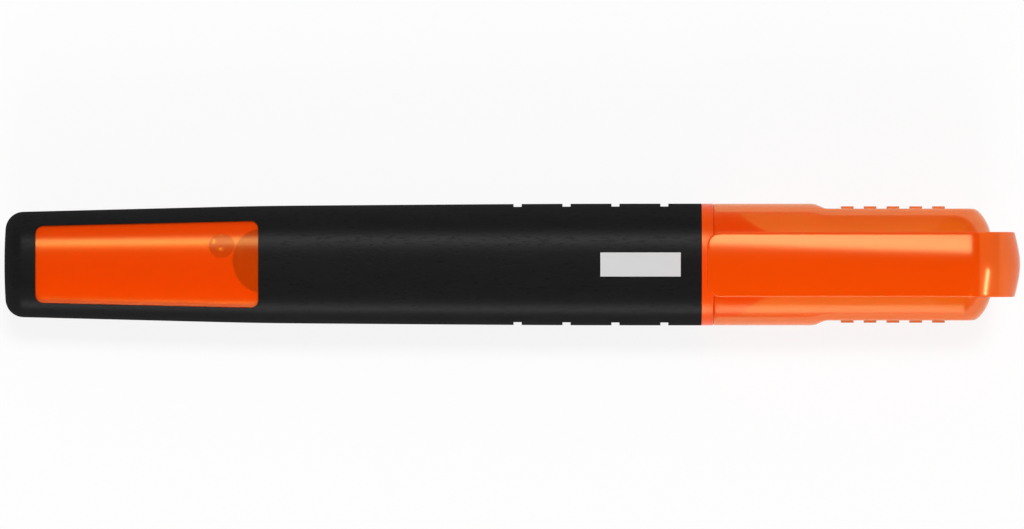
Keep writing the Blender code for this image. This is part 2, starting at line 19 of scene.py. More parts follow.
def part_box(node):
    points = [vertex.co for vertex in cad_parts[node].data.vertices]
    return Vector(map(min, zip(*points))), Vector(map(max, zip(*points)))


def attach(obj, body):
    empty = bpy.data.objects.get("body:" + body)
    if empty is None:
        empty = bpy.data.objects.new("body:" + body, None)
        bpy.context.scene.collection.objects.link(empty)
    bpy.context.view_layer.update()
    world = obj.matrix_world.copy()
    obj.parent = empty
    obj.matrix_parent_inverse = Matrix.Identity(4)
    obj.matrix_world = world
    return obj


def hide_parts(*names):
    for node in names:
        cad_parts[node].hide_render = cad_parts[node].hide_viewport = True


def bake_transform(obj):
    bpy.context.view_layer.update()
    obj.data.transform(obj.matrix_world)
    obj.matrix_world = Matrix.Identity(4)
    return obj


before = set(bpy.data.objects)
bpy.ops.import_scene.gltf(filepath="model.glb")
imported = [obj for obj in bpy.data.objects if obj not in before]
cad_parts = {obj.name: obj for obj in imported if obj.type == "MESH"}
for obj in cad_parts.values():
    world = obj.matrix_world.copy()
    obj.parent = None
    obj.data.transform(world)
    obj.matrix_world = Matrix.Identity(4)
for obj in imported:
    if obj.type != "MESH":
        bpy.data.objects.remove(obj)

LOG = logging.getLogger("highlighter")
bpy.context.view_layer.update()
MM = 0.001
SMOOTH_ANGLE = math.radians(32)
# Points closer than WELD are one, and an edge with this cosine to an axis lies along it.
WELD = 1e-7
PARALLEL = 0.99
# Sockets of a Mix node that mixes colours.
MIX_SHARE = 0
MIX_FIRST = 6
MIX_SECOND = 7
MIX_RESULT = 2
Colour = tuple[float, float, float, float]


class Body(Enum):
    """Rigid bodies of the pen that a piece can ride on."""

    BARREL = "barrel"
    CAP = "cap"
    CLIP = "clip"


class Cut(Enum):
    """Ways in which one solid shapes another."""

    AWAY = "DIFFERENCE"
    SHARED = "INTERSECT"
    JOINED = "UNION"


def linear(colour: str) -> Colour:
    """Turn an sRGB hex colour into linear values.

    Args:
        colour: Colour such as "#e04800".

    Returns:
        Red, green, blue and a full alpha, linear.
    """
    channels = [int(colour[k : k + 2], 16) / 255 for k in (1, 3, 5)]
    values = [c / 12.92 if c <= 0.04045 else ((c + 0.055) / 1.055) ** 2.4 for c in channels]
    return (values[0], values[1], values[2], 1.0)


def soft_least(first: float, second: float, softness: float) -> float:
    """Give the lesser of two lengths, eased where they cross.

    Args:
        first: One length.
        second: The other length.
        softness: Length over which one gives way to the other.

    Returns:
        The eased lesser length.
    """
    low, gap = min(first, second), abs(first - second)
    return low - softness * math.log1p(math.exp(-gap / softness))


def ease(share: float) -> float:
    """Turn a share from 0 to 1 into one that starts and ends gently."""
    held = min(1.0, max(0.0, share))
    return held * held * (3 - 2 * held)


def rounding(station: float, end: float, depth: float) -> float:
    """Find how much of its breadth a rounded end keeps.

    Args:
        station: Place along the pen.
        end: Station of the end.
        depth: Length over which it is rounded.

    Returns:
        Share from 1, before the rounding, to 0 at the end.
    """
    share = min(1.0, max(0.0, (station - (end - depth)) / depth))
    return math.sqrt(1 - share * share)


def quarter(steps: int) -> list[tuple[float, float]]:
    """Sine and cosine at even steps through a quarter turn, with both of its ends."""
    turns = [math.pi / 2 * step / steps for step in range(steps + 1)]
    return [(math.sin(turn), math.cos(turn)) for turn in turns]


def put(name: str, data: ID) -> Object:
    """Put a mesh, a lamp or a camera into the scene.

    Args:
        name: Name of the object.
        data: What it shows.

    Returns:
        The object, at the origin.
    """
    obj = bpy.data.objects.new(name, data)
    bpy.context.scene.collection.objects.link(obj)
    return obj


def set_values(node: Node, values: dict) -> None:
    """Set plain values on a node's inputs, by their names or numbers."""
    for name, value in values.items():
        node.inputs[name].default_value = value


def add_node(tree: NodeTree, kind: str, values: dict, links: dict, **settings: str) -> Node:
    """Add a node to a tree.

    Args:
        tree: Tree of a material, a world or a lamp.
        kind: Blender's name of the node's type.
        values: Plain values by input name or number.
        links: Output sockets by the input name or number that they feed.
        settings: The node's own properties.

    Returns:
        The new node.
    """
    node = tree.nodes.new(kind)
    for name, value in settings.items():
        setattr(node, name, value)
    set_values(node, values)
    for name, source in links.items():
        tree.links.new(source, node.inputs[name])
    return node


def new_material(name: str) -> tuple[Material, NodeTree, Node]:
    """Start a material.

    Args:
        name: Name of the finish.

    Returns:
        The material, its tree and its Principled shader.
    """
    material = bpy.data.materials.new(name)
    material.use_nodes = True
    return material, material.node_tree, material.node_tree.nodes["Principled BSDF"]


def marks(tree: NodeTree, size_mm: float, stretch: float = 1.0, **shape: float) -> NodeSocket:
    """Spread uneven marks of a real size over a piece.

    Args:
        tree: Tree of the material.
        size_mm: Size of a mark across the pen.
        stretch: How many times longer it is along the pen.
        shape: Detail, Roughness and Distortion of the marks.

    Returns:
        Their level, from 0 to 1.
    """
    place = add_node(tree, "ShaderNodeTexCoord", {}, {})
    along = add_node(
        tree, "ShaderNodeMapping", {"Scale": (1 / stretch, 1.0, 1.0)}, {"Vector": place.outputs["Object"]}
    )
    noise = add_node(
        tree,
        "ShaderNodeTexNoise",
        {"Scale": 1 / (size_mm * MM), **shape},
        {"Vector": along.outputs["Vector"]},
    )
    return noise.outputs["Fac"]


def cover(shader: Node, colour: NodeSocket, height: NodeSocket, depth_mm: float) -> NodeSocket:
    """Give a shader its colour and a fine relief.

    Args:
        shader: Principled shader of a material.
        colour: Colour over the piece.
        height: Height of the relief, from 0 to 1.
        depth_mm: Real depth of the relief.

    Returns:
        The normals of the relief.
    """
    tree = shader.id_data
    depth = {"Strength": 1.0, "Distance": depth_mm * MM}
    bump = add_node(tree, "ShaderNodeBump", depth, {"Height": height})
    tree.links.new(colour, shader.inputs["Base Color"])
    tree.links.new(bump.outputs["Normal"], shader.inputs["Normal"])
    return bump.outputs["Normal"]


@dataclass(frozen=True)
class SoftTouchLacquer:
    """Soft-touch lacquer over a sleeve moulded in an etched tool.

    It is nearly black, its thin matt film gives faint soft bands of light, and a fine creased grain,
    longer along the pen than across, breaks them. The creases are also painted a shade darker, as painted
    shade. The film is denser than a real one, so that faces seen edge on stay dark. The creases are
    coarser than real ones, which are too fine to show.
    """

    name: str = "soft_touch_lacquer_etched"
    colour: str = "#171717"
    worn_colour: str = "#1f1f1f"
    film: float = 0.034
    film_roughness: float = 0.32
    film_ior: float = 1.9
    # Painted shade: the creases are drawn in this darker colour.
    crease_shade_colour: str = "#151515"
    crease_mm: float = 0.25
    crease_stretch: float = 3.4
    crease_levels: tuple[float, float] = (0.53, 0.7)
    crease_depth_mm: float = 0.008
    mottle_mm: float = 1.6

    def material(self) -> Material:
        """Build the grained black material.

        Returns:
            The material.
        """
        material, tree, shader = new_material(self.name)
        stretch = self.crease_stretch
        creases = marks(tree, self.crease_mm, stretch, Detail=3.0, Roughness=0.55, Distortion=0.3)
        mottle = marks(tree, self.mottle_mm, stretch, Detail=4.0, Roughness=0.6)
        low, high = self.crease_levels
        land = add_node(
            tree,
            "ShaderNodeMapRange",
            {"From Min": low, "From Max": high, "To Min": 1.0, "To Max": 0.0},
            {"Value": creases},
            interpolation_type="SMOOTHSTEP",
        )
        worn = add_node(
            tree,
            "ShaderNodeMix",
            {MIX_FIRST: linear(self.colour), MIX_SECOND: linear(self.worn_colour)},
            {MIX_SHARE: mottle},
            data_type="RGBA",
        )
        # Where the creases are, the colour is painted darker: painted shade in the creases.
        tint = add_node(
            tree,
            "ShaderNodeMix",
            {MIX_FIRST: linear(self.crease_shade_colour)},
            {MIX_SHARE: land.outputs["Result"], MIX_SECOND: worn.outputs[MIX_RESULT]},
            data_type="RGBA",
        )
        normal = cover(shader, tint.outputs[MIX_RESULT], land.outputs["Result"], self.crease_depth_mm)
        tree.links.new(normal, shader.inputs["Coat Normal"])
        film = {"Coat Weight": self.film, "Coat Roughness": self.film_roughness, "Coat IOR": self.film_ior}
        set_values(shader, {"Roughness": 1.0, "Specular IOR Level": 0.0, **film})
        return material


@dataclass(frozen=True)
class ClearPlastic:
    """Dyed polystyrene moulded in a polished tool.

    It lets through some of what lies behind it, a little warmed, each face adds its own orange, and the
    polish keeps highlights bright. Faint flow marks from the moulding run along it.
    """

    name: str
    opacity: float
    colour: str = "#fb4d00"
    flow_colour: str = "#f64a00"
    clear_tint: str = "#fff9cb"
    shine_tint: str = "#ffe79b"
    roughness: float = 0.22
    specular: float = 0.36
    ior: float = 1.5
    flow_mm: float = 5.0
    flow_stretch: float = 4.0
    ripple_mm: float = 0.0015
    shine_spread: float = 0.03

    def material(self) -> Material:
        """Build the see-through orange material.

        Returns:
            The material.
        """
        material, tree, shader = new_material(self.name)
        flow = marks(tree, self.flow_mm, self.flow_stretch, Detail=3.0, Roughness=0.5)
        cover(shader, self.tint(tree, flow), flow, self.ripple_mm)
        shine = add_node(
            tree,
            "ShaderNodeMapRange",
            {"To Min": self.roughness - self.shine_spread, "To Max": self.roughness + self.shine_spread},
            {"Value": flow},
        )
        tree.links.new(shine.outputs["Result"], shader.inputs["Roughness"])
        gloss = {"Specular IOR Level": self.specular, "Specular Tint": linear(self.shine_tint)}
        set_values(shader, {"IOR": self.ior, **gloss})
        clear = add_node(tree, "ShaderNodeBsdfTransparent", {"Color": linear(self.clear_tint)}, {})
        layers = {1: clear.outputs["BSDF"], 2: shader.outputs["BSDF"]}
        mix = add_node(tree, "ShaderNodeMixShader", {0: self.opacity}, {**self.dye(tree), **layers})
        tree.links.new(mix.outputs["Shader"], tree.nodes["Material Output"].inputs["Surface"])
        return material

    def tint(self, tree: NodeTree, flow: NodeSocket) -> NodeSocket:
        """Mix the two oranges by the flow marks.

        Args:
            tree: Tree of the material.
            flow: Level of the flow marks.

        Returns:
            The colour.
        """
        tint = add_node(
            tree,
            "ShaderNodeMix",
            {MIX_FIRST: linear(self.colour), MIX_SECOND: linear(self.flow_colour)},
            {MIX_SHARE: flow},
            data_type="RGBA",
        )
        return tint.outputs[MIX_RESULT]

    def dye(self, tree: NodeTree) -> dict[int, NodeSocket]:
        """Links that set how deep the dye lies, where one value for all of it won't do."""
        return {}


@dataclass(frozen=True)
class LoopedPlastic(ClearPlastic):
    """Dyed polystyrene of the clip.

    Over the cap it looks deep. Past the cap's end its colour is painted paler: painted light for the
    daylight that comes through the loop.
    """

    # Painted light: the loop's paler orange stands in for the daylight that comes through it.
    loop_painted_light_colour: str = "#f2631d"
    loop_start: float = 0.0631
    loop_fade: float = 0.0005

    def tint(self, tree: NodeTree, flow: NodeSocket) -> NodeSocket:
        """Mix in a paler orange past the cap's end, painted light for the daylight through the loop.

        Args:
            tree: Tree of the material.
            flow: Level of the flow marks.

        Returns:
            The colour.
        """
        arm = super().tint(tree, flow)
        place = add_node(tree, "ShaderNodeTexCoord", {}, {})
        parts = add_node(tree, "ShaderNodeSeparateXYZ", {}, {"Vector": place.outputs["Object"]})
        share = add_node(
            tree,
            "ShaderNodeMapRange",
            {"From Min": self.loop_start, "From Max": self.loop_start + self.loop_fade},
            {"Value": parts.outputs["X"]},
            interpolation_type="SMOOTHSTEP",
        )
        # Past the cap's end the colour is painted paler: painted light.
        tint = add_node(
            tree,
            "ShaderNodeMix",
            {MIX_SECOND: linear(self.loop_painted_light_colour)},
            {MIX_SHARE: share.outputs["Result"], MIX_FIRST: arm},
            data_type="RGBA",
        )
        return tint.outputs[MIX_RESULT]


@dataclass(frozen=True)
class LiningPlastic(ClearPlastic):
    """Dyed polystyrene of the cap's inside.

    Seen square on it adds little, and where it turns away from the eye its dye lies deeper, as in glass.
    """

    rim_opacity: float = 0.9
    rim_blend: float = 0.25

    def dye(self, tree: NodeTree) -> dict[int, NodeSocket]:
        """Let the dye lie deeper where a face is seen edge on.

        Args:
            tree: Tree of the material.

        Returns:
            The link to the share of the dyed shader.
        """
        facing = add_node(tree, "ShaderNodeLayerWeight", {"Blend": self.rim_blend}, {})
        depth = add_node(
            tree,
            "ShaderNodeMapRange",
            {"To Min": self.opacity, "To Max": self.rim_opacity},
            {"Value": facing.outputs["Facing"]},
        )
        return {0: depth.outputs["Result"]}


@dataclass(frozen=True)
class SolidPlastic:
    """Pigmented or natural polypropylene, injection moulded.

    It is opaque, with the satin shine of a drawn tool and a slight unevenness of its pigment. Its orange
    peel is coarser than a real one, which is too fine to show.
    """

    name: str
    colour: str
    flow_colour: str
    roughness: float = 0.3
    specular: float = 0.3
    shine_tint: str = "#ffffff"
    flow_mm: float = 3.0
    orange_peel_mm: float = 0.25
    peel_depth_mm: float = 0.002

    def material(self) -> Material:
        """Build the moulded material.

        Returns:
            The material.
        """
        material, tree, shader = new_material(self.name)
        flow = marks(tree, self.flow_mm, Detail=3.0)
        peel = marks(tree, self.orange_peel_mm, Detail=2.0)
        tint = add_node(
            tree,
            "ShaderNodeMix",
            {MIX_FIRST: linear(self.colour), MIX_SECOND: linear(self.flow_colour)},
            {MIX_SHARE: flow},
            data_type="RGBA",
        )
        cover(shader, tint.outputs[MIX_RESULT], peel, self.peel_depth_mm)
        gloss = {"Specular IOR Level": self.specular, "Specular Tint": linear(self.shine_tint)}
        set_values(shader, {"Roughness": self.roughness, **gloss})
        return material


@dataclass(frozen=True)
class PressedFibre:
    """Bonded polyester fibre soaked with ink.

    Its fibres run along the rod and show as fine streaks, darker where the ink has dried. They are
    coarser than real ones, which are too fine to show.
    """

    name: str = "bonded_polyester_fibre_inked"
    colour: str = "#f0590a"
    dry_colour: str = "#d04400"
    roughness: float = 0.85
    fibre_mm: float = 0.12
    fibre_stretch: float = 14.0
    depth_mm: float = 0.03

    def material(self) -> Material:
        """Build the streaked fibre material.

        Returns:
            The material.
        """
        material, tree, shader = new_material(self.name)
        fibres = marks(tree, self.fibre_mm, self.fibre_stretch, Detail=4.0)
        tint = add_node(
            tree,
            "ShaderNodeMix",
            {MIX_FIRST: linear(self.colour), MIX_SECOND: linear(self.dry_colour)},
            {MIX_SHARE: fibres},
            data_type="RGBA",
        )
        cover(shader, tint.outputs[MIX_RESULT], fibres, self.depth_mm)
        set_values(shader, {"Roughness": self.roughness})
        return material


@dataclass(frozen=True)
class Oval:
    """Cross-section of the pen: a rounded oval square to its axis, cut on both sides by flats."""

    station: float
    half_width: float
    half_height: float
    power: float = 2.5
    flat: float = math.inf
    flat_softness: float = 0.00012

    def drawn_in(self, inset: float) -> "Oval":
        """The same oval with inset taken off all round."""
        return replace(self, half_width=self.half_width - inset, half_height=self.half_height - inset)

    def at(self, station: float) -> "Oval":
        """The same oval at another station."""
        return replace(self, station=station)

    def point(self, turn: float) -> Vector:
        """Find a point of the oval.

        Args:
            turn: Angle round the pen's axis.

        Returns:
            The point, in stations.
        """
        cosine, sine = math.cos(turn), math.sin(turn)
        across = abs(cosine) ** (2 / self.power) * self.half_width
        up = abs(sine) ** (2 / self.power) * self.half_height
        if math.isfinite(self.flat):
            across = soft_least(across, self.flat, self.flat_softness)
        return Vector((self.station, math.copysign(across, cosine), math.copysign(up, sine)))


class Skin:
    """Mesh drawn ring by ring along the pen, each ring extruded from the last."""

    def __init__(self, first: Oval, sides: int) -> None:
        """Start from one ring.

        Args:
            first: Oval of the first ring.
            sides: Points in a ring.
        """
        self.bm = bmesh.new()
        self.turn = self.bm.verts.layers.float.new("turn")
        for vert in bmesh.ops.create_circle(self.bm, segments=sides, radius=1.0)["verts"]:
            vert[self.turn] = math.atan2(vert.co.y, vert.co.x)
            vert.co = first.point(vert[self.turn])
        self.start = list(self.bm.edges)
        self.edges = list(self.start)

    def along(self, ovals: list[Oval], finish: int = 0) -> "Skin":
        """Extrude the last ring through further ovals.

        Args:
            ovals: Ovals in the order in which the skin passes them.
            finish: Material slot of the new faces.

        Returns:
            The skin itself.
        """
        for oval in ovals:
            grown = bmesh.ops.extrude_edge_only(self.bm, edges=self.edges)["geom"]
            for item in grown:
                if isinstance(item, BMVert):
                    item.co = oval.point(item[self.turn])
                if isinstance(item, BMFace):
                    item.material_index = finish
            self.edges = [item for item in grown if isinstance(item, BMEdge)]
        return self

    def closed(self) -> BMesh:
        """Fill both end rings.

        Returns:
            The solid's mesh.
        """
        bmesh.ops.edgeloop_fill(self.bm, edges=self.start)
        bmesh.ops.edgeloop_fill(self.bm, edges=self.edges)
        return self.bm

    def tube(self) -> BMesh:
        """Join the last ring to the first and give the tube's mesh."""
        bmesh.ops.bridge_loops(self.bm, edges=self.start + self.edges)
        return self.bm


def skin_over(ovals: list[Oval], sides: int) -> Skin:
    """Draw a skin over a row of ovals.

    Args:
        ovals: Ovals in order.
        sides: Points in a ring.

    Returns:
        The open skin.
    """
    return Skin(ovals[0], sides).along(ovals[1:])


def rounded_edge(face: Oval, radius: float, steps: int) -> list[Oval]:
    """Lead a skin round the edge of an end face.

    Args:
        face: Oval of the whole face.
        radius: Radius of the edge, less than nothing where the face looks towards the tail.
        steps: Facets round the edge.

    Returns:
        Ovals round the edge, the last on the face.
    """
    ovals = []
    for sine, cosine in quarter(steps):
        ovals.append(face.drawn_in(abs(radius) * (1 - cosine)).at(face.station - radius * (1 - sine)))
    return ovals


def thicken(bm: BMesh, rise: float) -> None:
    """Extrude a sheet straight up into a solid.

    Args:
        bm: The sheet's mesh.
        rise: Height of the solid.
    """
    grown = bmesh.ops.extrude_face_region(bm, geom=bm.faces[:], use_keep_orig=True)["geom"]
    raised = [item for item in grown if isinstance(item, BMVert)]
    bmesh.ops.translate(bm, verts=raised, vec=(0, 0, rise))


def cut_off(bm: BMesh, point: tuple, normal: tuple) -> None:
    """Cut away what lies beyond a plane, and close the cut.

    Args:
        bm: The solid's mesh.
        point: A point of the plane.
        normal: Way towards what is cut away.
    """
    geom = bm.verts[:] + bm.edges[:] + bm.faces[:]
    cut = bmesh.ops.bisect_plane(bm, geom=geom, plane_co=point, plane_no=normal, clear_outer=True)
    rim = [item for item in cut["geom_cut"] if isinstance(item, BMEdge)]
    bmesh.ops.edgeloop_fill(bm, edges=rim)


@dataclass
class Bench:
    """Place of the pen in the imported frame, and the way its pieces are put there."""

    tail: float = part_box("barrel_sleeve")[0].x
    axis: float = (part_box("front_section")[0].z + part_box("front_section")[1].z) / 2

    def world(self, station: float, across: float = 0.0, up: float = 0.0) -> Vector:
        """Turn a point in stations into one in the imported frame."""
        return Vector((self.tail + station, across, self.axis + up))

    def station_of(self, node: str, corner: int) -> float:
        """Station of the rear (0) or front (1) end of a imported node."""
        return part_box(node)[corner].x - self.tail

    def solid(self, name: str, bm: BMesh, *finishes: Material) -> Object:
        """Make an object from a mesh drawn in stations.

        Args:
            name: Name of the piece.
            bm: Its mesh, which is freed.
            finishes: Materials for its slots.

        Returns:
            The object, at the origin with its place in its mesh.
        """
        bmesh.ops.remove_doubles(bm, verts=bm.verts, dist=WELD)
        bmesh.ops.recalc_face_normals(bm, faces=bm.faces)
        mesh = bpy.data.meshes.new(name)
        bm.to_mesh(mesh)
        bm.free()
        mesh.transform(Matrix.Translation(self.world(0.0)))
        for finish in finishes:
            mesh.materials.append(finish)
        return put(name, mesh)

    def shape(self, piece: Object, other: Object, how: Cut) -> None:
        """Shape one solid by another, which is used up.

        Args:
            piece: Solid that is kept.
            other: Solid that cuts, trims or joins it.
            how: Kind of cut.
        """
        modifier = piece.modifiers.new(other.name, "BOOLEAN")
        modifier.operation = how.value
        modifier.solver = "EXACT"
        modifier.object = other
        graph = bpy.context.evaluated_depsgraph_get()
        mesh = bpy.data.meshes.new_from_object(piece.evaluated_get(graph))
        piece.modifiers.clear()
        old, piece.data = piece.data, mesh
        bpy.data.meshes.remove(old)
        spent = other.data
        bpy.data.objects.remove(other)
        bpy.data.meshes.remove(spent)

    def finish(self, piece: Object, body: Body, slot: str, *nodes: str) -> Object:
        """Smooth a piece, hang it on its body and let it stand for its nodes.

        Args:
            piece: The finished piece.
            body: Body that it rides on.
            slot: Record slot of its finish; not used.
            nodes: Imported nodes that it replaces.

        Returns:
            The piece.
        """
        piece.data.shade_smooth()
        piece.data.set_sharp_from_angle(angle=SMOOTH_ANGLE)
        # The clip is not hung on a body here.
        if body is not Body.CLIP:
            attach(piece, body.value)
        if nodes:
            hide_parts(*nodes)
        LOG.info("%s: %d faces on %s", piece.name, len(piece.data.polygons), body.value)
        return piece


@dataclass(frozen=True)
class BarrelForm:
    """Outside of the barrel: a rounded tail, a steep taper to the waist and a gentle one to the body."""

    tail_half: tuple[float, float] = (0.00717, 0.00521)
    waist_half: tuple[float, float] = (0.00798, 0.00597)
    body_half: tuple[float, float] = (0.00828, 0.006315)
    tail_radius: float = 0.0024
    least_radius: float = 0.0002
    tail_crown: float = 0.00015
    crown_start: float = 0.1
    waist: float = 0.0346
    shoulder: float = 0.0755
    softness: float = 0.00004
    spacing: float = 0.0007
    tail_steps: int = 14
    crown_steps: int = 6
    sides: int = 192

    def section(self, station: float) -> Oval:
        """Find the outside before the tail is rounded.

        Args:
            station: Place along the pen.

        Returns:
            The oval there.
        """
        halves = []
        for tail, waist, body in zip(self.tail_half, self.waist_half, self.body_half):
            steep = tail + (waist - tail) * (station - self.tail_radius) / (self.waist - self.tail_radius)
            gentle = waist + (body - waist) * (station - self.waist) / (self.shoulder - self.waist)
            halves.append(soft_least(soft_least(steep, gentle, self.softness), body, self.softness))
        return Oval(station, *halves)

    def rings(self, inset: float, front: float) -> list[Oval]:
        """Draw the barrel's form.

        Args:
            inset: Depth under the outside.
            front: Station at which it ends.

        Returns:
            Ovals from the middle of the tail to the front.
        """
        radius = max(self.tail_radius - inset, self.least_radius)
        end = self.section(self.tail_radius).drawn_in(inset + radius)
        ovals = []
        for step in range(self.crown_steps):
            share = (step + self.crown_start) / self.crown_steps
            station = inset + self.tail_crown * share * share
            ovals.append(Oval(station, end.half_width * share, end.half_height * share))
        for sine, cosine in quarter(self.tail_steps):
            station = inset + self.tail_crown + radius * (1 - cosine)
            ovals.append(self.section(station).drawn_in(inset + radius * (1 - sine)))
        rear = ovals[-1].station
        count = math.ceil((front - rear) / self.spacing)
        for step in range(1, count + 1):
            station = rear + (front - rear) * step / count
            ovals.append(self.section(station).drawn_in(inset))
        return ovals


@dataclass(frozen=True)
class WindowForm:
    """Ink window: a long opening with rounded corners, wider in front, on the front and the back."""

    rear: float = 0.0043
    length: float = 0.0303
    rear_width: float = 0.0105
    front_width: float = 0.0119
    corner: float = 0.00105
    corner_steps: int = 8
    reach: float = 0.012

    def prism(self, inset: float = 0.0) -> BMesh:
        """Draw an upright prism through both windows.

        Args:
            inset: Depth inside the window's edge.

        Returns:
            The prism's mesh.
        """
        bm = bmesh.new()
        bmesh.ops.create_grid(bm, x_segments=1, y_segments=1, size=1.0)
        for vert in bm.verts:
            at_front = vert.co.x > 0
            half = (self.front_width if at_front else self.rear_width) / 2 - inset
            station = self.rear + self.length - inset if at_front else self.rear + inset
            vert.co = Vector((station, math.copysign(half, vert.co.y), -self.reach))
        bmesh.ops.bevel(
            bm,
            geom=list(bm.verts),
            offset=self.corner,
            affect="VERTICES",
            segments=self.corner_steps,
            profile=0.5,
            material=-1,
        )
        thicken(bm, 2 * self.reach)
        return bm


def plain_block(low: Vector, high: Vector) -> BMesh:
    """Draw a box with sharp edges.

    Args:
        low: Lowest corner.
        high: Highest corner.

    Returns:
        The box's mesh.
    """
    bm = bmesh.new()
    bmesh.ops.create_cube(bm, size=1.0)
    bmesh.ops.scale(bm, verts=bm.verts, vec=high - low)
    bmesh.ops.translate(bm, verts=bm.verts, vec=(low + high) / 2)
    return bm


def rounded_block(low: Vector, high: Vector, radius: float, steps: int) -> BMesh:
    """Draw a box with the edges that run across the pen rounded.

    Args:
        low: Lowest corner.
        high: Highest corner.
        radius: Radius of those edges.
        steps: Facets round each edge.

    Returns:
        The box's mesh.
    """
    bm = plain_block(low, high)
    edges = [e for e in bm.edges if abs((e.verts[1].co - e.verts[0].co).normalized().y) > PARALLEL]
    bmesh.ops.bevel(
        bm, geom=edges, offset=radius, affect="EDGES", segments=steps, profile=0.5, material=-1
    )
    return bm


@dataclass(frozen=True)
class Dent:
    """Flattened ball of air that is pressed into the ink."""

    centre: Vector
    radius: float
    finish: int
    flatness: float = 0.55
    nearness: float = 0.01
    meridians: int = 128
    parallels: int = 64

    def ball(self) -> BMesh:
        """Draw the ball of air.

        Returns:
            Its mesh, in stations.
        """
        bm = bmesh.new()
        facets = {"u_segments": self.meridians, "v_segments": self.parallels}
        bmesh.ops.create_uvsphere(bm, radius=self.radius, **facets)
        bmesh.ops.scale(bm, verts=bm.verts, vec=(1, 1, self.flatness))
        bmesh.ops.translate(bm, verts=bm.verts, vec=self.centre)
        return bm

    def holds(self, point: Vector) -> bool:
        """Tell whether a point lies on the ball's surface.

        Args:
            point: The point, in stations.

        Returns:
            True if it does.
        """
        reach = point - self.centre
        reach.z /= self.flatness
        return abs(reach.length / self.radius - 1) < self.nearness


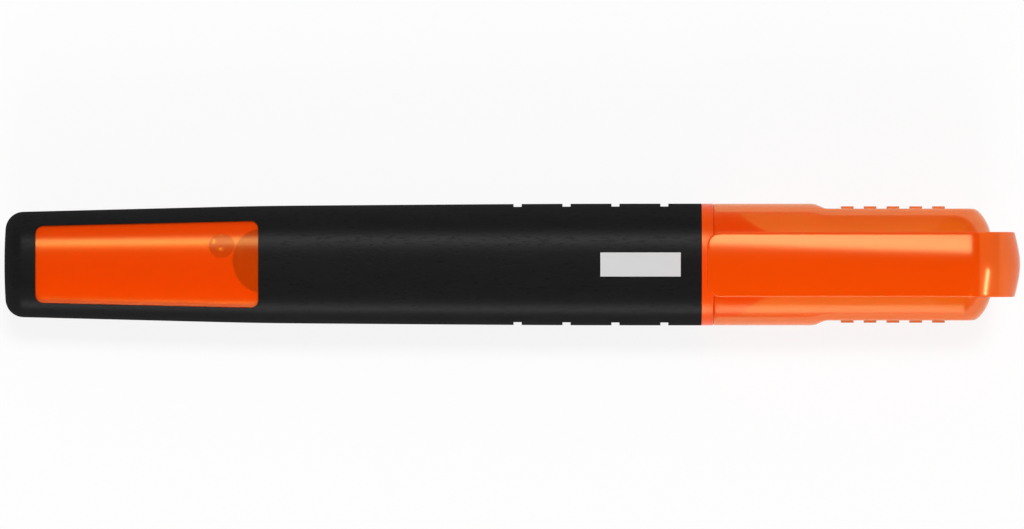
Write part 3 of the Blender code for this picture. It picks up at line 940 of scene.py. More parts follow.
@dataclass
class Barrel:
    """Black sleeve with its windows and grooves, and the tank and ink that show through them."""

    bench: Bench
    form: BarrelForm = BarrelForm()
    window: WindowForm = WindowForm()
    sleeve_wall: float = 0.0008
    inside_spacing: float = 0.004
    inside_tail_steps: int = 6
    tank_wall: float = 0.0008
    tank_gap: float = 0.0003
    core_spacing: float = 0.0012
    core_sides: int = 144
    hollow_overrun: float = 0.002
    land_wall: float = 0.00006
    land_skin: float = 0.0004
    land_gap: float = 0.00002
    land_recess: float = 0.00008
    land_spacing: float = 0.003
    land_sides: int = 480
    seam: float = 0.00003
    groove_count: int = 4
    groove_pitch: float = 0.00665
    groove_setback: float = 0.0050
    groove_width: float = 0.0011
    groove_span: float = 0.0076
    groove_depth: float = 0.00038
    groove_corner: float = 0.48
    groove_steps: int = 8
    groove_reach: float = 1.2
    groove_margin: float = 0.002
    panel_rear: float = 0.0810
    panel_front: float = 0.0919
    panel_width: float = 0.00326
    panel_thickness: float = 0.00003
    panel_cells: tuple[int, int] = (20, 24)
    bubble_station: float = 0.0296
    bubble_offset: float = 0.0027
    bubble_radius: float = 0.00178
    pocket_station: float = 0.0358
    pocket_offset: float = 0.0006
    pocket_radius: float = 0.0047

    def sleeve(self, finish: Material) -> Object:
        """Build the sleeve.

        Args:
            finish: Soft-touch black.

        Returns:
            The sleeve.
        """
        front = self.bench.station_of("barrel_sleeve", 1) + self.seam
        outside = self.form.rings(0.0, front)
        coarse = replace(self.form, spacing=self.inside_spacing, tail_steps=self.inside_tail_steps)
        inside = coarse.rings(self.sleeve_wall, front)
        bm = skin_over(outside + inside[::-1], self.form.sides).closed()
        sleeve = self.bench.solid("soft_sleeve", bm, finish)
        opening = self.bench.solid("window_opening", self.window.prism(), finish)
        self.bench.shape(sleeve, opening, Cut.AWAY)
        for k in range(self.groove_count):
            self.bench.shape(sleeve, self.groove(front, k, finish), Cut.AWAY)
        return self.bench.finish(sleeve, Body.BARREL, "soft_black", "barrel_sleeve")

    def groove(self, front: float, number: int, finish: Material) -> Object:
        """Build the cutter of one pair of grip grooves, one on each side.

        Args:
            front: Station of the sleeve's front.
            number: Place in the row, from the front.
            finish: Material of the cut faces.

        Returns:
            The cutter.
        """
        station = front - self.groove_setback - number * self.groove_pitch
        reach = self.form.body_half[0] * self.groove_reach
        low = Vector((station - self.groove_width / 2, -reach, -self.groove_span / 2))
        high = Vector((station + self.groove_width / 2, reach, self.groove_span / 2))
        block = rounded_block(low, high, self.groove_width * self.groove_corner, self.groove_steps)
        cutter = self.bench.solid(f"groove_{number}", block, finish)
        ends = (low.x - self.groove_margin, high.x + self.groove_margin)
        floor = [self.form.section(end).drawn_in(self.groove_depth) for end in ends]
        bm = skin_over(floor, self.form.sides).closed()
        core = self.bench.solid(f"groove_floor_{number}", bm, finish)
        self.bench.shape(cutter, core, Cut.AWAY)
        return cutter

    def filled(self, name: str, inset: float, front: float, finish: Material) -> Object:
        """Build a body that fills the sleeve and rises into its windows.

        Args:
            name: Name of the piece.
            inset: Depth under the tank's outside.
            front: Station at which it ends.
            finish: Its material.

        Returns:
            The solid.
        """
        form = replace(self.form, spacing=self.core_spacing, sides=self.core_sides)
        core = form.rings(self.sleeve_wall + self.tank_gap + inset, front)
        body = self.bench.solid(name, skin_over(core, form.sides).closed(), finish)
        depth = inset / self.tank_wall
        sides = self.land_gap + self.land_wall * depth
        lands = self.bench.solid(name + "_lands", self.window.prism(sides), finish)
        fine = replace(self.form, spacing=self.land_spacing, sides=self.land_sides)
        skin = fine.rings(self.land_recess + self.land_skin * depth, front)
        surface = self.bench.solid(name + "_skin", skin_over(skin, fine.sides).closed(), finish)
        self.bench.shape(lands, surface, Cut.SHARED)
        self.bench.shape(body, lands, Cut.JOINED)
        return body

    def tank(self, finish: Material) -> Object:
        """Build the clear tank, open in front.

        Args:
            finish: Clear orange of the tank.

        Returns:
            The tank.
        """
        front = self.bench.station_of("ink_tank", 1)
        tank = self.filled("clear_tank", 0.0, front, finish)
        hollow = self.filled("tank_hollow", self.tank_wall, front + self.hollow_overrun, finish)
        self.bench.shape(tank, hollow, Cut.AWAY)
        return self.bench.finish(tank, Body.BARREL, "clear_orange_tank", "ink_tank")

    def ink(self, finish: Material, shade: Material, film: Material) -> Object:
        """Build the ink, with a round bubble and the edge of the air that follows it dented into it.

        Args:
            finish: Orange ink.
            shade: Ink behind the air in front of it, painted darker as painted shade.
            film: Ink behind the bubble, painted darker as painted shade.

        Returns:
            The ink.
        """
        front = self.bench.station_of("ink_charge", 1)
        ink = self.filled("orange_ink", self.tank_wall + self.land_gap, front, finish)
        ink.data.materials.append(shade)
        ink.data.materials.append(film)
        top = self.form.section(self.bubble_station).half_height - self.land_recess - self.land_skin
        airs = (
            (self.pocket_station, self.pocket_offset, self.pocket_radius),
            (self.bubble_station, self.bubble_offset, self.bubble_radius),
        )
        dents = []
        for side in (-1, 1):
            for slot, (station, offset, radius) in enumerate(airs, start=1):
                dents.append(Dent(Vector((station, side * offset, side * top)), radius, slot))
        for k, dent in enumerate(dents):
            self.bench.shape(ink, self.bench.solid(f"air_{k}", dent.ball(), finish), Cut.AWAY)
        # The dents' faces take the darker ink: painted shade behind the air and the bubble.
        for face in ink.data.polygons:
            corners = [ink.data.vertices[k].co - self.bench.world(0.0) for k in face.vertices]
            for dent in dents:
                if all(dent.holds(corner) for corner in corners):
                    face.material_index = dent.finish
        return self.bench.finish(ink, Body.BARREL, "orange_ink", "ink_charge")

    def panel(self, finish: Material) -> Object:
        """Build the blank printed panel on the front of the sleeve.

        Args:
            finish: Light grey print.

        Returns:
            The panel.
        """
        bm = bmesh.new()
        columns, rows = self.panel_cells
        bmesh.ops.create_grid(bm, x_segments=columns, y_segments=rows, size=0.5)
        for vert in bm.verts:
            station = self.panel_rear + (self.panel_front - self.panel_rear) * (vert.co.x + 0.5)
            oval = self.form.section(station)
            across = self.panel_width * vert.co.y
            share = 1 - abs(across / oval.half_width) ** oval.power
            up = oval.half_height * share ** (1 / oval.power) - self.panel_thickness
            vert.co = Vector((station, across, up))
        thicken(bm, 2 * self.panel_thickness)
        panel = self.bench.solid("printed_panel", bm, finish)
        return self.bench.finish(panel, Body.BARREL, "natural_plastic")


@dataclass
class Nose:
    """Front section that carries the cap, and the nib in its snout."""

    bench: Bench
    form: BarrelForm = BarrelForm()
    collar_gap: float = 0.00006
    plug_inset: float = 0.0022
    plug_wall: float = 0.0009
    seat_inset: float = 0.00117
    bead: float = 0.00004
    bead_length: float = 0.0008
    bead_steps: int = 6
    funnel_length: float = 0.0122
    funnel_powers: tuple[float, float] = (3.4, 1.3)
    funnel_steps: int = 28
    snout_length: float = 0.0052
    snout_root: float = 0.00355
    snout_tip: float = 0.00325
    nib_radius: float = 0.0022
    bore: float = 0.0024
    bore_rings: tuple[float, ...] = (0.0, 0.0025, 0.012)
    nib_edge: float = 0.0012
    nib_wedge: float = 0.0045
    nib_slant: float = 0.0024
    nib_sides: int = 96
    seam: float = 0.00003
    edge: float = 0.0001
    rear_edge: float = 0.0001 / 3
    edge_steps: int = 4
    sides: int = 144

    def section(self, finish: Material) -> Object:
        """Build the front section: plug, collar, cap seat, funnel and bored snout.

        Args:
            finish: Moulded orange.

        Returns:
            The front section.
        """
        start = self.bench.station_of("front_section", 0)
        collar = self.bench.station_of("barrel_sleeve", 1) + self.collar_gap
        end = self.bench.station_of("front_section", 1)
        funnel_start = end - self.snout_length - self.funnel_length
        seat_start = self.bench.station_of("cap_shell", 0) - self.seam
        body = Oval(collar, *self.form.body_half)
        seat = body.drawn_in(self.seat_inset)
        plug = body.drawn_in(self.plug_inset)
        ovals = [plug.at(start), plug.at(collar), body.drawn_in(self.rear_edge)]
        ovals.append(body.at(collar + self.rear_edge))
        ovals += rounded_edge(body.at(seat_start), self.edge, self.edge_steps)
        ovals.append(seat.at(seat_start))
        middle = (seat_start + funnel_start) / 2
        for step in range(-self.bead_steps, self.bead_steps + 1):
            rise = self.bead * math.cos(math.pi / 2 * step / self.bead_steps)
            ovals.append(seat.drawn_in(-rise).at(middle + self.bead_length / 2 * step / self.bead_steps))
        for step in range(self.funnel_steps + 1):
            ovals.append(self.funnel(funnel_start, seat, step / self.funnel_steps))
        round_tip = Oval(end, self.snout_tip, self.snout_tip, 2.0)
        ovals += rounded_edge(round_tip, self.edge, self.edge_steps)
        bore = Oval(end, self.bore, self.bore, 2.0)
        ovals += [bore.at(end - depth) for depth in self.bore_rings]
        ovals.append(bore.at(collar))
        ovals += [plug.drawn_in(self.plug_wall).at(collar), plug.drawn_in(self.plug_wall).at(start)]
        bm = skin_over(ovals, self.sides).tube()
        section = self.bench.solid("nose_section", bm, finish)
        return self.bench.finish(section, Body.BARREL, "moulded_orange", "front_section")

    def funnel(self, start: float, seat: Oval, share: float) -> Oval:
        """Draw one ring of the funnel.

        Args:
            start: Station at which the funnel starts.
            seat: Oval that it starts from.
            share: Share of its length.

        Returns:
            The ring between the oval seat and the round snout.
        """
        left = 1 - share
        root = self.snout_root
        width = root + (seat.half_width - root) * left ** self.funnel_powers[0]
        height = root + (seat.half_height - root) * left ** self.funnel_powers[1]
        return Oval(start + self.funnel_length * share, width, height, 2 + (seat.power - 2) * left)

    def nib(self, finish: Material) -> Object:
        """Build the nib, a round rod cut to a slanted wedge.

        Args:
            finish: Inked fibre.

        Returns:
            The nib.
        """
        rear, tip = self.bench.station_of("nib", 0), self.bench.station_of("nib", 1)
        rod = Oval(rear, self.nib_radius, self.nib_radius, 2.0)
        bm = skin_over([rod, rod.at(tip)], self.nib_sides).closed()
        rise = self.nib_radius - self.nib_edge / 2
        cuts = [((tip, 0, side * self.nib_edge / 2), (rise, 0, side * self.nib_wedge)) for side in (-1, 1)]
        cuts.append(((tip, -self.nib_radius, 0), (2 * self.nib_radius, self.nib_slant, 0)))
        for point, normal in cuts:
            cut_off(bm, point, normal)
        nib = self.bench.solid("fibre_nib", bm, finish)
        return self.bench.finish(nib, Body.BARREL, "inked_fibre", "nib")


@dataclass
class Cap:
    """Clear cap with its flats and grip ribs, and the sealing liner inside it."""

    bench: Bench
    form: BarrelForm = BarrelForm()
    wall: float = 0.0011
    flat_setback: float = 0.0154
    flat_ramp: float = 0.0024
    flat_clear: float = 0.0003
    flat_half: float = 0.00761
    flat_wall: float = 0.0009
    end_depth: float = 0.00435
    end_half: tuple[float, float] = (0.0022, 0.00175)
    inside_depth: float = 0.0034
    inside_end_half: tuple[float, float] = (0.0026, 0.0020)
    end_wall: float = 0.00175
    mouth_edge: float = 0.0002
    mouth_lead: float = 0.0005
    mouth_steps: int = 4
    rib_count: int = 5
    rib_pitch: float = 0.0031
    rib_setback: float = 0.0028
    rib_length: float = 0.0017
    rib_height: float = 0.0038
    rib_proud: float = 0.0003
    rib_corner: float = 0.0004
    rib_steps: int = 6
    liner_bore: float = 0.00385
    liner_wall: float = 0.0007
    liner_end_wall: float = 0.0010
    liner_base: float = 0.0010
    liner_flare: float = 0.0030
    flare_steps: int = 24
    liner_sides: int = 144
    fit: float = 0.0003
    dome_steps: int = 24
    spacing: float = 0.0006
    sides: int = 192

    @property
    def mouth(self) -> float:
        """Station of the cap's mouth."""
        return self.bench.station_of("cap_shell", 0)

    @property
    def end(self) -> float:
        """Station of the cap's far end."""
        return self.bench.station_of("cap_shell", 1)

    @property
    def flats(self) -> float:
        """Station at which the flats have reached their depth."""
        return self.mouth + self.flat_setback

    def sunk(self, station: float) -> float:
        """Share of the flats' depth that is reached at a station."""
        return ease((station - self.flats + self.flat_ramp) / self.flat_ramp)

    @property
    def inside_end(self) -> float:
        """Station of the bottom of the cap's inside."""
        return self.end - self.end_wall

    def outside(self, station: float, grow: float = 0.0) -> Oval:
        """Find the cap's outside.

        Args:
            station: Place along the pen.
            grow: Distance by which the oval stands off it.

        Returns:
            The oval there.
        """
        width, height = self.form.body_half
        spread = rounding(station, self.end, self.end_depth)
        half_width = self.end_half[0] + (width - self.end_half[0]) * spread
        half_height = self.end_half[1] + (height - self.end_half[1]) * spread
        clear = width + self.flat_clear
        flat = clear + (self.flat_half - clear) * self.sunk(station)
        return Oval(station, half_width + grow, half_height + grow, flat=flat + grow)

    def inside(self, station: float, inset: float = 0.0) -> Oval:
        """Find the cap's inside.

        Args:
            station: Place along the pen.
            inset: Distance by which the oval is drawn in from it.

        Returns:
            The oval there.
        """
        wide = self.form.body_half[0] - self.wall
        narrow = self.flat_half - self.flat_wall
        width = wide + (narrow - wide) * self.sunk(station)
        height = self.form.body_half[1] - self.wall
        spread = rounding(station, self.inside_end, self.inside_depth)
        half_width = self.inside_end_half[0] + (width - self.inside_end_half[0]) * spread
        half_height = self.inside_end_half[1] + (height - self.inside_end_half[1]) * spread
        return Oval(station, half_width, half_height).drawn_in(inset)

    def dome_stations(self, end: float, depth: float) -> list[float]:
        """Stations round a rounded end, from its tip back, closest together at the tip."""
        return [end - depth * (1 - cosine) for _, cosine in quarter(self.dome_steps)]

    def wall_stations(self, front: float, rear: float) -> list[float]:
        """Even stations from a front one back to a rear one, both left out."""
        count = math.ceil((front - rear) / self.spacing)
        return [front + (rear - front) * k / count for k in range(1, count)]

    def shell(self, finish: Material, lining: Material) -> Object:
        """Build the cap's shell.

        Args:
            finish: Clear orange of the cap's outside.
            lining: Clear orange of the cap's inside, which adds little to it.

        Returns:
            The shell.
        """
        mouth, edge = self.mouth, self.mouth_edge
        stations = self.dome_stations(self.end, self.end_depth)
        stations += self.wall_stations(stations[-1], mouth + edge)
        ovals = [self.outside(x) for x in stations]
        ovals += rounded_edge(self.outside(mouth), -edge, self.mouth_steps)
        lead = mouth + self.mouth_lead
        inner = [lead] + self.wall_stations(self.inside_end - self.inside_depth, lead)[::-1]
        inner += self.dome_stations(self.inside_end, self.inside_depth)[::-1]
        ovals.append(self.inside(mouth, -self.mouth_lead))
        skin = skin_over(ovals, self.sides).along([self.inside(x) for x in inner], 1)
        shell = self.bench.solid("clear_cap", skin.closed(), finish, lining)
        for side in (-1, 1):
            for k in range(self.rib_count):
                self.bench.shape(shell, self.rib(side, k, finish), Cut.JOINED)
        return self.bench.finish(shell, Body.CAP, "clear_orange_cap", "cap_shell")

    def rib(self, side: int, number: int, finish: Material) -> Object:
        """Build one grip rib.

        Args:
            side: Side of the cap, -1 or 1.
            number: Place in the row.
            finish: Clear orange of the cap.

        Returns:
            The rib.
        """
        station = self.flats + self.rib_setback + number * self.rib_pitch
        root, top = side * (self.flat_half - self.flat_wall / 2), side * (self.flat_half + self.rib_proud)
        low = Vector((station - self.rib_length / 2, min(root, top), -self.rib_height / 2))
        high = Vector((station + self.rib_length / 2, max(root, top), self.rib_height / 2))
        block = rounded_block(low, high, self.rib_corner, self.rib_steps)
        return self.bench.solid(f"rib_{side}_{number}", block, finish)

    def liner(self, finish: Material) -> Object:
        """Build the sealing liner: a base in the cap's end, flaring down to a sleeve round the snout.

        Args:
            finish: Clear orange of the cap.

        Returns:
            The liner.
        """
        bottom = self.inside_end
        stations = self.dome_stations(bottom, self.inside_depth)
        ovals = [self.inside(x, self.fit).at(x - self.fit) for x in stations]
        base = ovals[-1].at(ovals[-1].station - self.liner_base)
        ovals.append(base)
        tube = self.liner_bore + self.liner_wall
        for sine, cosine in quarter(self.flare_steps)[1:]:
            left = 1 - sine
            halves = [tube + (half - tube) * left for half in (base.half_width, base.half_height)]
            station = base.station - self.liner_flare * (1 - cosine)
            ovals.append(Oval(station, *halves, 2 + (base.power - 2) * left))
        rim = self.bench.station_of("inner_cap", 0)
        pipe = Oval(rim, tube, tube, 2.0)
        bore = Oval(rim, self.liner_bore, self.liner_bore, 2.0)
        ovals += [pipe, bore, bore.at(bottom - self.fit - self.liner_end_wall)]
        liner = self.bench.solid("cap_liner", skin_over(ovals, self.liner_sides).closed(), finish)
        return self.bench.finish(liner, Body.CAP, "clear_orange_cap", "inner_cap")


@dataclass
class Clip:
    """Pocket clip: a crowned arm over the cap, a loop round its end and a root on its back edge."""

    bench: Bench
    cap: Cap
    width: float = 0.00885
    thickness: float = 0.0027
    loop_thickness: float = 0.00283
    tip_crown: float = 0.000575
    bend_crown: float = 0.00077
    tip_ridge: float = 0.3
    bend_ridge: float = 1.7
    overhang: float = 0.0009
    tip_corner: float = 0.0019
    tip_steps: int = 14
    tip_gap: float = 0.00108
    bend_gap: float = 0.00137
    top_radius: float = 0.00713
    root_radius: float = 0.00564
    root_lift: float = 0.00028
    root_relief: float = 0.00001
    edge: float = 0.00022
    edge_steps: int = 4
    edge_angle: float = math.radians(60)
    bend_low: float = -0.004
    bend_high: float = 0.0064
    bump_setback: float = 0.0066
    bump_radius: float = 0.00245
    bump_gap: float = 0.0002
    bump_meridians: int = 64
    bump_parallels: int = 32
    arm_step: float = 0.001
    back_steps: int = 4
    bend_step: float = math.radians(3)
    across_steps: int = 18

    def __post_init__(self) -> None:
        """Work out the runs of the clip's outer line, from its free end to its root."""
        body = self.cap.form.body_half[1]
        self.start = self.cap.mouth - self.overhang
        self.reach = self.bench.station_of("clip", 1)
        self.top = body + self.bend_gap + self.thickness
        self.root_level = self.root_lift - body + self.root_radius
        self.arm = self.reach - self.top_radius - self.start
        self.upper = self.arm + self.top_radius * math.pi / 2
        self.back = self.upper + self.top - self.top_radius - self.root_level
        self.length = self.back + self.root_radius * math.pi / 2

    def outer(self, run: float) -> tuple[Vector, Vector]:
        """Follow the clip's outer line.

        Args:
            run: Length from the free end.

        Returns:
            The point on the line and the way into the clip there.
        """
        if run <= self.arm:
            drop = (self.bend_gap - self.tip_gap) * (1 - run / self.arm)
            return Vector((self.start + run, 0, self.top - drop)), Vector((0, 0, -1))
        if run <= self.upper:
            turn = (run - self.arm) / self.top_radius
            centre = Vector((self.reach - self.top_radius, 0, self.top - self.top_radius))
            way = Vector((math.sin(turn), 0, math.cos(turn)))
            return centre + way * self.top_radius, -way
        if run <= self.back:
            level = self.top - self.top_radius - (run - self.upper)
            return Vector((self.reach, 0, level)), Vector((-1, 0, 0))
        turn = (run - self.back) / self.root_radius
        centre = Vector((self.reach - self.root_radius, 0, self.root_level))
        way = Vector((math.cos(turn), 0, -math.sin(turn)))
        return centre + way * self.root_radius, -way

    def bent(self, flat: Vector) -> Vector:
        """Take a point of the straight strip to its place on the bent clip.

        Args:
            flat: Run along the strip, place across it and depth under its outer face.

        Returns:
            The point, in stations.
        """
        run = min(self.length, max(0.0, flat.x))
        point, way = self.outer(run)
        swell = ease((run - self.arm) / self.top_radius)
        thick = self.thickness + (self.loop_thickness - self.thickness) * swell
        share = -flat.z / self.thickness
        sag = self.crowned(run, 2 * flat.y / self.width) * (1 - share)
        return point + way * (thick * share + sag) + Vector((0, flat.y, 0))

    def crowned(self, run: float, across: float) -> float:
        """Find how far the crowned face falls away from its middle.

        Args:
            run: Length from the free end.
            across: Share of the half width.

        Returns:
            The fall, on a curve that is rounder on top towards the loop.
        """
        share = min(1.0, run / self.arm)
        crown = self.tip_crown + (self.bend_crown - self.tip_crown) * share
        ridge = self.tip_ridge + (self.bend_ridge - self.tip_ridge) * share
        return crown * (math.hypot(1, ridge * across) - 1) / (math.hypot(1, ridge) - 1)

    def strip(self) -> BMesh:
        """Draw the clip as a straight strip with a rounded free end and broken edges.

        Returns:
            The strip's mesh, cut across where it is to bend and along for its crown.
        """
        low = Vector((0, -self.width / 2, -self.thickness))
        bm = plain_block(low, Vector((self.length, self.width / 2, 0)))
        tip = [e for e in bm.edges if all(v.co.x < self.edge for v in e.verts)]
        corners = [e for e in tip if e.calc_length() < self.width / 2]
        rounds = {"affect": "EDGES", "profile": 0.5, "material": -1}
        bmesh.ops.bevel(bm, geom=corners, offset=self.tip_corner, segments=self.tip_steps, **rounds)
        rim = [e for e in bm.edges if e.calc_face_angle() > self.edge_angle]
        bmesh.ops.bevel(bm, geom=rim, offset=self.edge, segments=self.edge_steps, **rounds)
        runs = [self.arm_step * k for k in range(1, int(self.arm / self.arm_step) + 1)]
        steps = int(math.pi / 2 / self.bend_step)
        runs += [self.arm + self.top_radius * self.bend_step * k for k in range(steps + 1)]
        straight = self.back - self.upper
        runs += [self.upper + straight * k / self.back_steps for k in range(1, self.back_steps)]
        runs += [self.back + self.root_radius * self.bend_step * k for k in range(steps)]
        cuts = [((run, 0, 0), (1, 0, 0)) for run in runs]
        for k in range(1, self.across_steps):
            cuts.append(((0, self.width * (k / self.across_steps - 0.5), 0), (0, 1, 0)))
        for point, normal in cuts:
            geom = bm.verts[:] + bm.edges[:] + bm.faces[:]
            bmesh.ops.bisect_plane(bm, geom=geom, plane_co=point, plane_no=normal, dist=WELD)
        return bm

    def bump(self) -> BMesh:
        """Draw the bump under the free end, a ball cut off inside the arm.

        Returns:
            The bump's mesh, in the clip's second finish.
        """
        body = self.cap.form.body_half[1]
        bm = bmesh.new()
        facets = {"u_segments": self.bump_meridians, "v_segments": self.bump_parallels}
        bmesh.ops.create_uvsphere(bm, radius=self.bump_radius, **facets)
        rise = body + self.bump_gap + self.bump_radius
        bmesh.ops.translate(bm, verts=bm.verts, vec=(self.start + self.bump_setback, 0, rise))
        cut_off(bm, (0, 0, body + self.tip_gap + self.thickness / 2), (0, 0, 1))
        for face in bm.faces:
            face.material_index = 1
        return bm

    def build(self, finish: Material, matt: Material) -> Object:
        """Build the clip, with its root trimmed to the cap's outside.

        Args:
            finish: Clear orange of the clip.
            matt: Clear orange of its bump.

        Returns:
            The clip.
        """
        bm = self.strip()
        for vert in bm.verts:
            vert.co = self.bent(vert.co)
        clip = self.bench.solid("pocket_clip", bm, finish, matt)
        self.bench.shape(clip, self.bench.solid("clip_bump", self.bump(), finish, matt), Cut.JOINED)
        stations = self.cap.dome_stations(self.cap.end, self.cap.end_depth)
        stations.append(self.cap.mouth)
        relief = [self.cap.outside(x, grow=self.root_relief) for x in stations]
        trimmer = self.bench.solid("root_relief", skin_over(relief, self.cap.sides).closed(), finish)
        self.bench.shape(clip, trimmer, Cut.AWAY)
        self.bench.finish(clip, Body.CLIP, "clear_orange_cap", "clip")
        # Light comes through the dyed plastic, so it throws next to no shadow on the cap under it.
        clip.visible_shadow = False
        low = self.bench.world(self.reach, up=self.bend_low)
        high = self.bench.world(self.reach, up=self.bend_high)
        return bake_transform(clip)


@dataclass(frozen=True)
class Softbox:
    """Soft rectangular studio lamp over the pen."""

    name: str
    lean_deg: float
    swing_deg: float
    length: float
    width: float
    radiance: float
    roll_deg: float = 0.0
    gloss_only: bool = False
    distance: float = 1.3

    def build(self) -> None:
        """Hang the lamp so that it faces the pen."""
        lean, swing = math.radians(self.lean_deg), math.radians(self.swing_deg)
        way = Vector((math.sin(swing) * math.cos(lean), math.sin(lean), math.cos(swing) * math.cos(lean)))
        lamp = bpy.data.lights.new(self.name, "AREA")
        lamp.shape = "RECTANGLE"
        lamp.size = self.length
        lamp.size_y = self.width
        lamp.energy = self.radiance * math.pi * self.length * self.width
        obj = put(self.name, lamp)
        obj.location = way * self.distance
        obj.rotation_mode = "QUATERNION"
        across = Vector((1, 0, 0))
        up = way.cross(across).normalized()
        turn = Matrix((up.cross(way), up, way)).transposed()
        roll = Matrix.Rotation(math.radians(self.roll_deg), 3, "Z")
        obj.rotation_quaternion = (turn @ roll).to_quaternion()
        obj.visible_diffuse = not self.gloss_only


@dataclass(frozen=True)
class Studio:
    """White floor, soft lamps, pale surroundings and the camera over the pen."""

    lens: float = 600.0
    sensor: float = 36.0
    view_width: float = 0.13926
    sight: float = 100.0
    floor_size: float = 12.0
    floor_colour: str = "#fcfcfc"
    floor_glow: float = 0.85
    floor_drop: float = 0.00002
    horizon: float = 1.0
    wall: float = 0.5
    zenith: float = 0.12
    low_band: tuple[float, float] = (0.06, 0.2)
    high_band: tuple[float, float] = (0.3, 0.9)
    lamps: tuple[Softbox, ...] = (
        Softbox("key_softbox", lean_deg=24.0, swing_deg=0.0, length=0.44, width=0.25, radiance=28.0),
        Softbox(
            "fill_softbox",
            lean_deg=-70.0,
            swing_deg=0.0,
            length=1.92,
            width=2.12,
            radiance=11.0,
            distance=5.0,
        ),
        Softbox(
            "end_softbox",
            lean_deg=-19.0,
            swing_deg=46.0,
            length=0.14,
            width=0.55,
            radiance=65.0,
            roll_deg=-19.0,
            gloss_only=True,
        ),
    )

    def floor(self) -> Object:
        """Lay the floor, which stays white to the eye and keeps the pen's shadow.

        Returns:
            The floor.
        """
        bm = bmesh.new()
        bmesh.ops.create_grid(bm, x_segments=1, y_segments=1, size=self.floor_size / 2)
        mesh = bpy.data.meshes.new("studio_floor")
        bm.to_mesh(mesh)
        bm.free()
        material, tree, shader = new_material("painted_floor_matt")
        matt = {"Roughness": 1.0, "Specular IOR Level": 0.0}
        set_values(shader, {"Base Color": linear(self.floor_colour), **matt})
        path = add_node(tree, "ShaderNodeLightPath", {}, {})
        seen = path.outputs["Is Camera Ray"]
        for ray in ("Is Glossy Ray", "Is Transmission Ray"):
            rays = {0: seen, 1: path.outputs[ray]}
            seen = add_node(tree, "ShaderNodeMath", {}, rays, operation="MAXIMUM").outputs["Value"]
        share = add_node(tree, "ShaderNodeMath", {1: self.floor_glow}, {0: seen}, operation="MULTIPLY")
        white = add_node(tree, "ShaderNodeEmission", {"Strength": 1.0}, {})
        mix = add_node(
            tree,
            "ShaderNodeMixShader",
            {},
            {0: share.outputs["Value"], 1: shader.outputs["BSDF"], 2: white.outputs["Emission"]},
        )
        tree.links.new(mix.outputs["Shader"], tree.nodes["Material Output"].inputs["Surface"])
        mesh.materials.append(material)
        floor = put("studio_floor", mesh)
        floor.location.z = -self.floor_drop
        return floor

    def surroundings(self) -> None:
        """Set the pale walls round the pen and the dim ceiling over it."""
        world = bpy.data.worlds.new("studio")
        bpy.context.scene.world = world
        world.use_nodes = True
        tree = world.node_tree
        place = add_node(tree, "ShaderNodeTexCoord", {}, {})
        parts = add_node(tree, "ShaderNodeSeparateXYZ", {}, {"Vector": place.outputs["Generated"]})
        falls = (
            (self.low_band, self.horizon - self.wall, 0.0),
            (self.high_band, self.wall, self.zenith),
        )
        levels = {}
        for number, (band, below, above) in enumerate(falls):
            fall = add_node(
                tree,
                "ShaderNodeMapRange",
                {"From Min": band[0], "From Max": band[1], "To Min": below, "To Max": above},
                {"Value": parts.outputs["Z"]},
                interpolation_type="SMOOTHSTEP",
            )
            levels[number] = fall.outputs["Result"]
        level = add_node(tree, "ShaderNodeMath", {}, levels, operation="ADD")
        background = tree.nodes["Background"]
        tree.links.new(level.outputs["Value"], background.inputs["Strength"])
        set_values(background, {"Color": (1.0, 1.0, 1.0, 1.0)})

    def camera(self, bench: Bench) -> None:
        """Look straight down on the pen, with the clip towards the camera.

        Args:
            bench: Place of the pen.
        """
        lens = bpy.data.cameras.new("overhead_camera")
        lens.lens = self.lens
        lens.sensor_width = self.sensor
        lens.clip_end = self.sight
        camera = put("overhead_camera", lens)
        camera.location = (0.0, 0.0, bench.axis + self.view_width * self.lens / self.sensor)
        bpy.context.scene.camera = camera

    def build(self, bench: Bench) -> None:
        """Set up the whole studio.

        Args:
            bench: Place of the pen.
        """
        bpy.context.scene.view_settings.view_transform = "Standard"
        self.floor()
        self.surroundings()
        for lamp in self.lamps:
            lamp.build()
        self.camera(bench)


def dress_nodes(finishes: dict[str, Material]) -> None:
    """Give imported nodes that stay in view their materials.

    Args:
        finishes: Materials by node name.
    """
    for name, material in finishes.items():
        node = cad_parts[name]
        node.data.materials.clear()
        node.data.materials.append(material)
        LOG.info("%s: packed node dressed as %s", name, material.name)


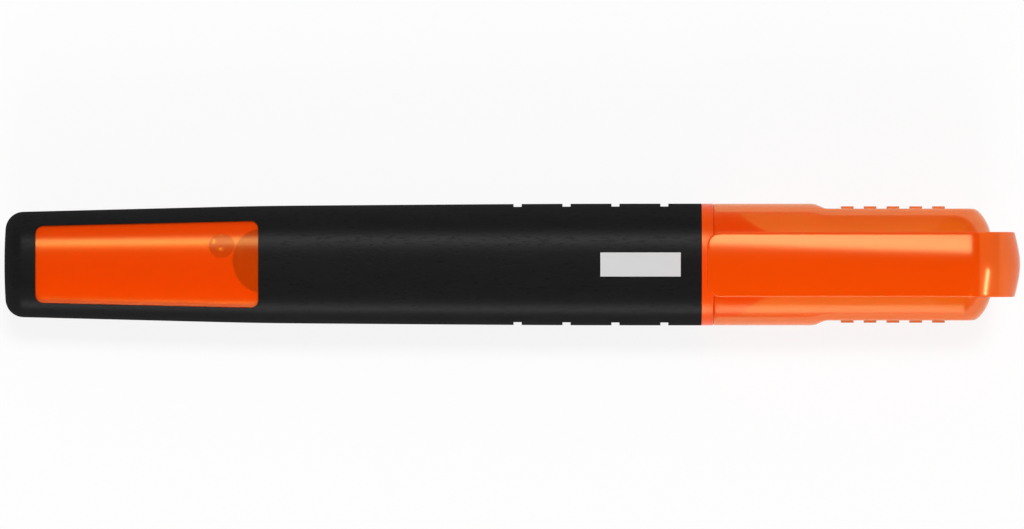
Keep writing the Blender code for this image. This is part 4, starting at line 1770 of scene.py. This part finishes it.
def main() -> None:
    """Build the pen piece by piece, then the studio."""
    logging.basicConfig(level=logging.INFO, format="%(message)s")
    bench = Bench()
    black = SoftTouchLacquer().material()
    # The cap is clear enough to show the section in it. Its inside adds only its rim, the liner a hint.
    cap_orange = ClearPlastic("dyed_polystyrene_cap", 0.62).material()
    lining_orange = LiningPlastic("dyed_polystyrene_cap_inside", 0.06, specular=0.8).material()
    liner_orange = ClearPlastic("dyed_polystyrene_liner", 0.03).material()
    # The clip is thicker and deeper. Its bump is matt, so that it throws no sparks through the arm.
    arm = ("#ee4c00", "#e94a00")
    clip_orange = LoopedPlastic(
        "dyed_polystyrene_clip", 0.82, *arm, roughness=0.18, specular=0.3
    ).material()
    bump_orange = ClearPlastic(
        "dyed_polystyrene_clip_bump", 0.82, *arm, roughness=0.6, specular=0.1
    ).material()
    # The tank is thin and lets the ink glow through. Behind the air and the bubble the ink is painted
    # darker, as painted shade.
    tank_orange = ClearPlastic(
        "dyed_polystyrene_tank", 0.34, "#ff5400", "#fc5200", specular=0.38
    ).material()
    warm = ClearPlastic.shine_tint
    ink_orange = SolidPlastic(
        "fluorescent_ink_liquid", "#ff5400", "#fb5200", 0.25, 0.75, warm
    ).material()
    # Painted shade: darker copies of the ink for the faces that show through the air and the bubble.
    ink_painted_air_shade = SolidPlastic(
        "fluorescent_ink_painted_shade_behind_air", "#8c2a02", "#842601", 0.45, 0.8, warm
    ).material()
    ink_painted_bubble_shade = SolidPlastic(
        "fluorescent_ink_painted_shade_behind_bubble", "#bf3c04", "#b63903", 0.2, 0.9, warm
    ).material()
    # The section is opaque and glows warm, natural plastic is milky, and the print is flat and pale.
    section_orange = SolidPlastic(
        "pigmented_polypropylene_moulded", "#ee4a00", "#ea4800", 0.3, shine_tint=warm
    ).material()
    natural = SolidPlastic("natural_polypropylene_moulded", "#d9d6cc", "#d2cfc4", 0.45).material()
    print_grey = SolidPlastic("pad_print_light_grey", "#d6d6d6", "#d0d0d0", 0.5).material()
    fibre = PressedFibre().material()

    barrel = Barrel(bench)
    barrel.sleeve(black)
    barrel.tank(tank_orange)
    barrel.ink(ink_orange, ink_painted_air_shade, ink_painted_bubble_shade)
    barrel.panel(print_grey)
    nose = Nose(bench)
    nose.section(section_orange)
    nose.nib(fibre)
    cap = Cap(bench)
    cap.shell(cap_orange, lining_orange)
    cap.liner(liner_orange)
    Clip(bench, cap).build(clip_orange, bump_orange)
    dress_nodes({"ink_regulator": natural, "feed_rod": fibre})
    Studio().build(bench)


if __name__ == "__main__":
    main()
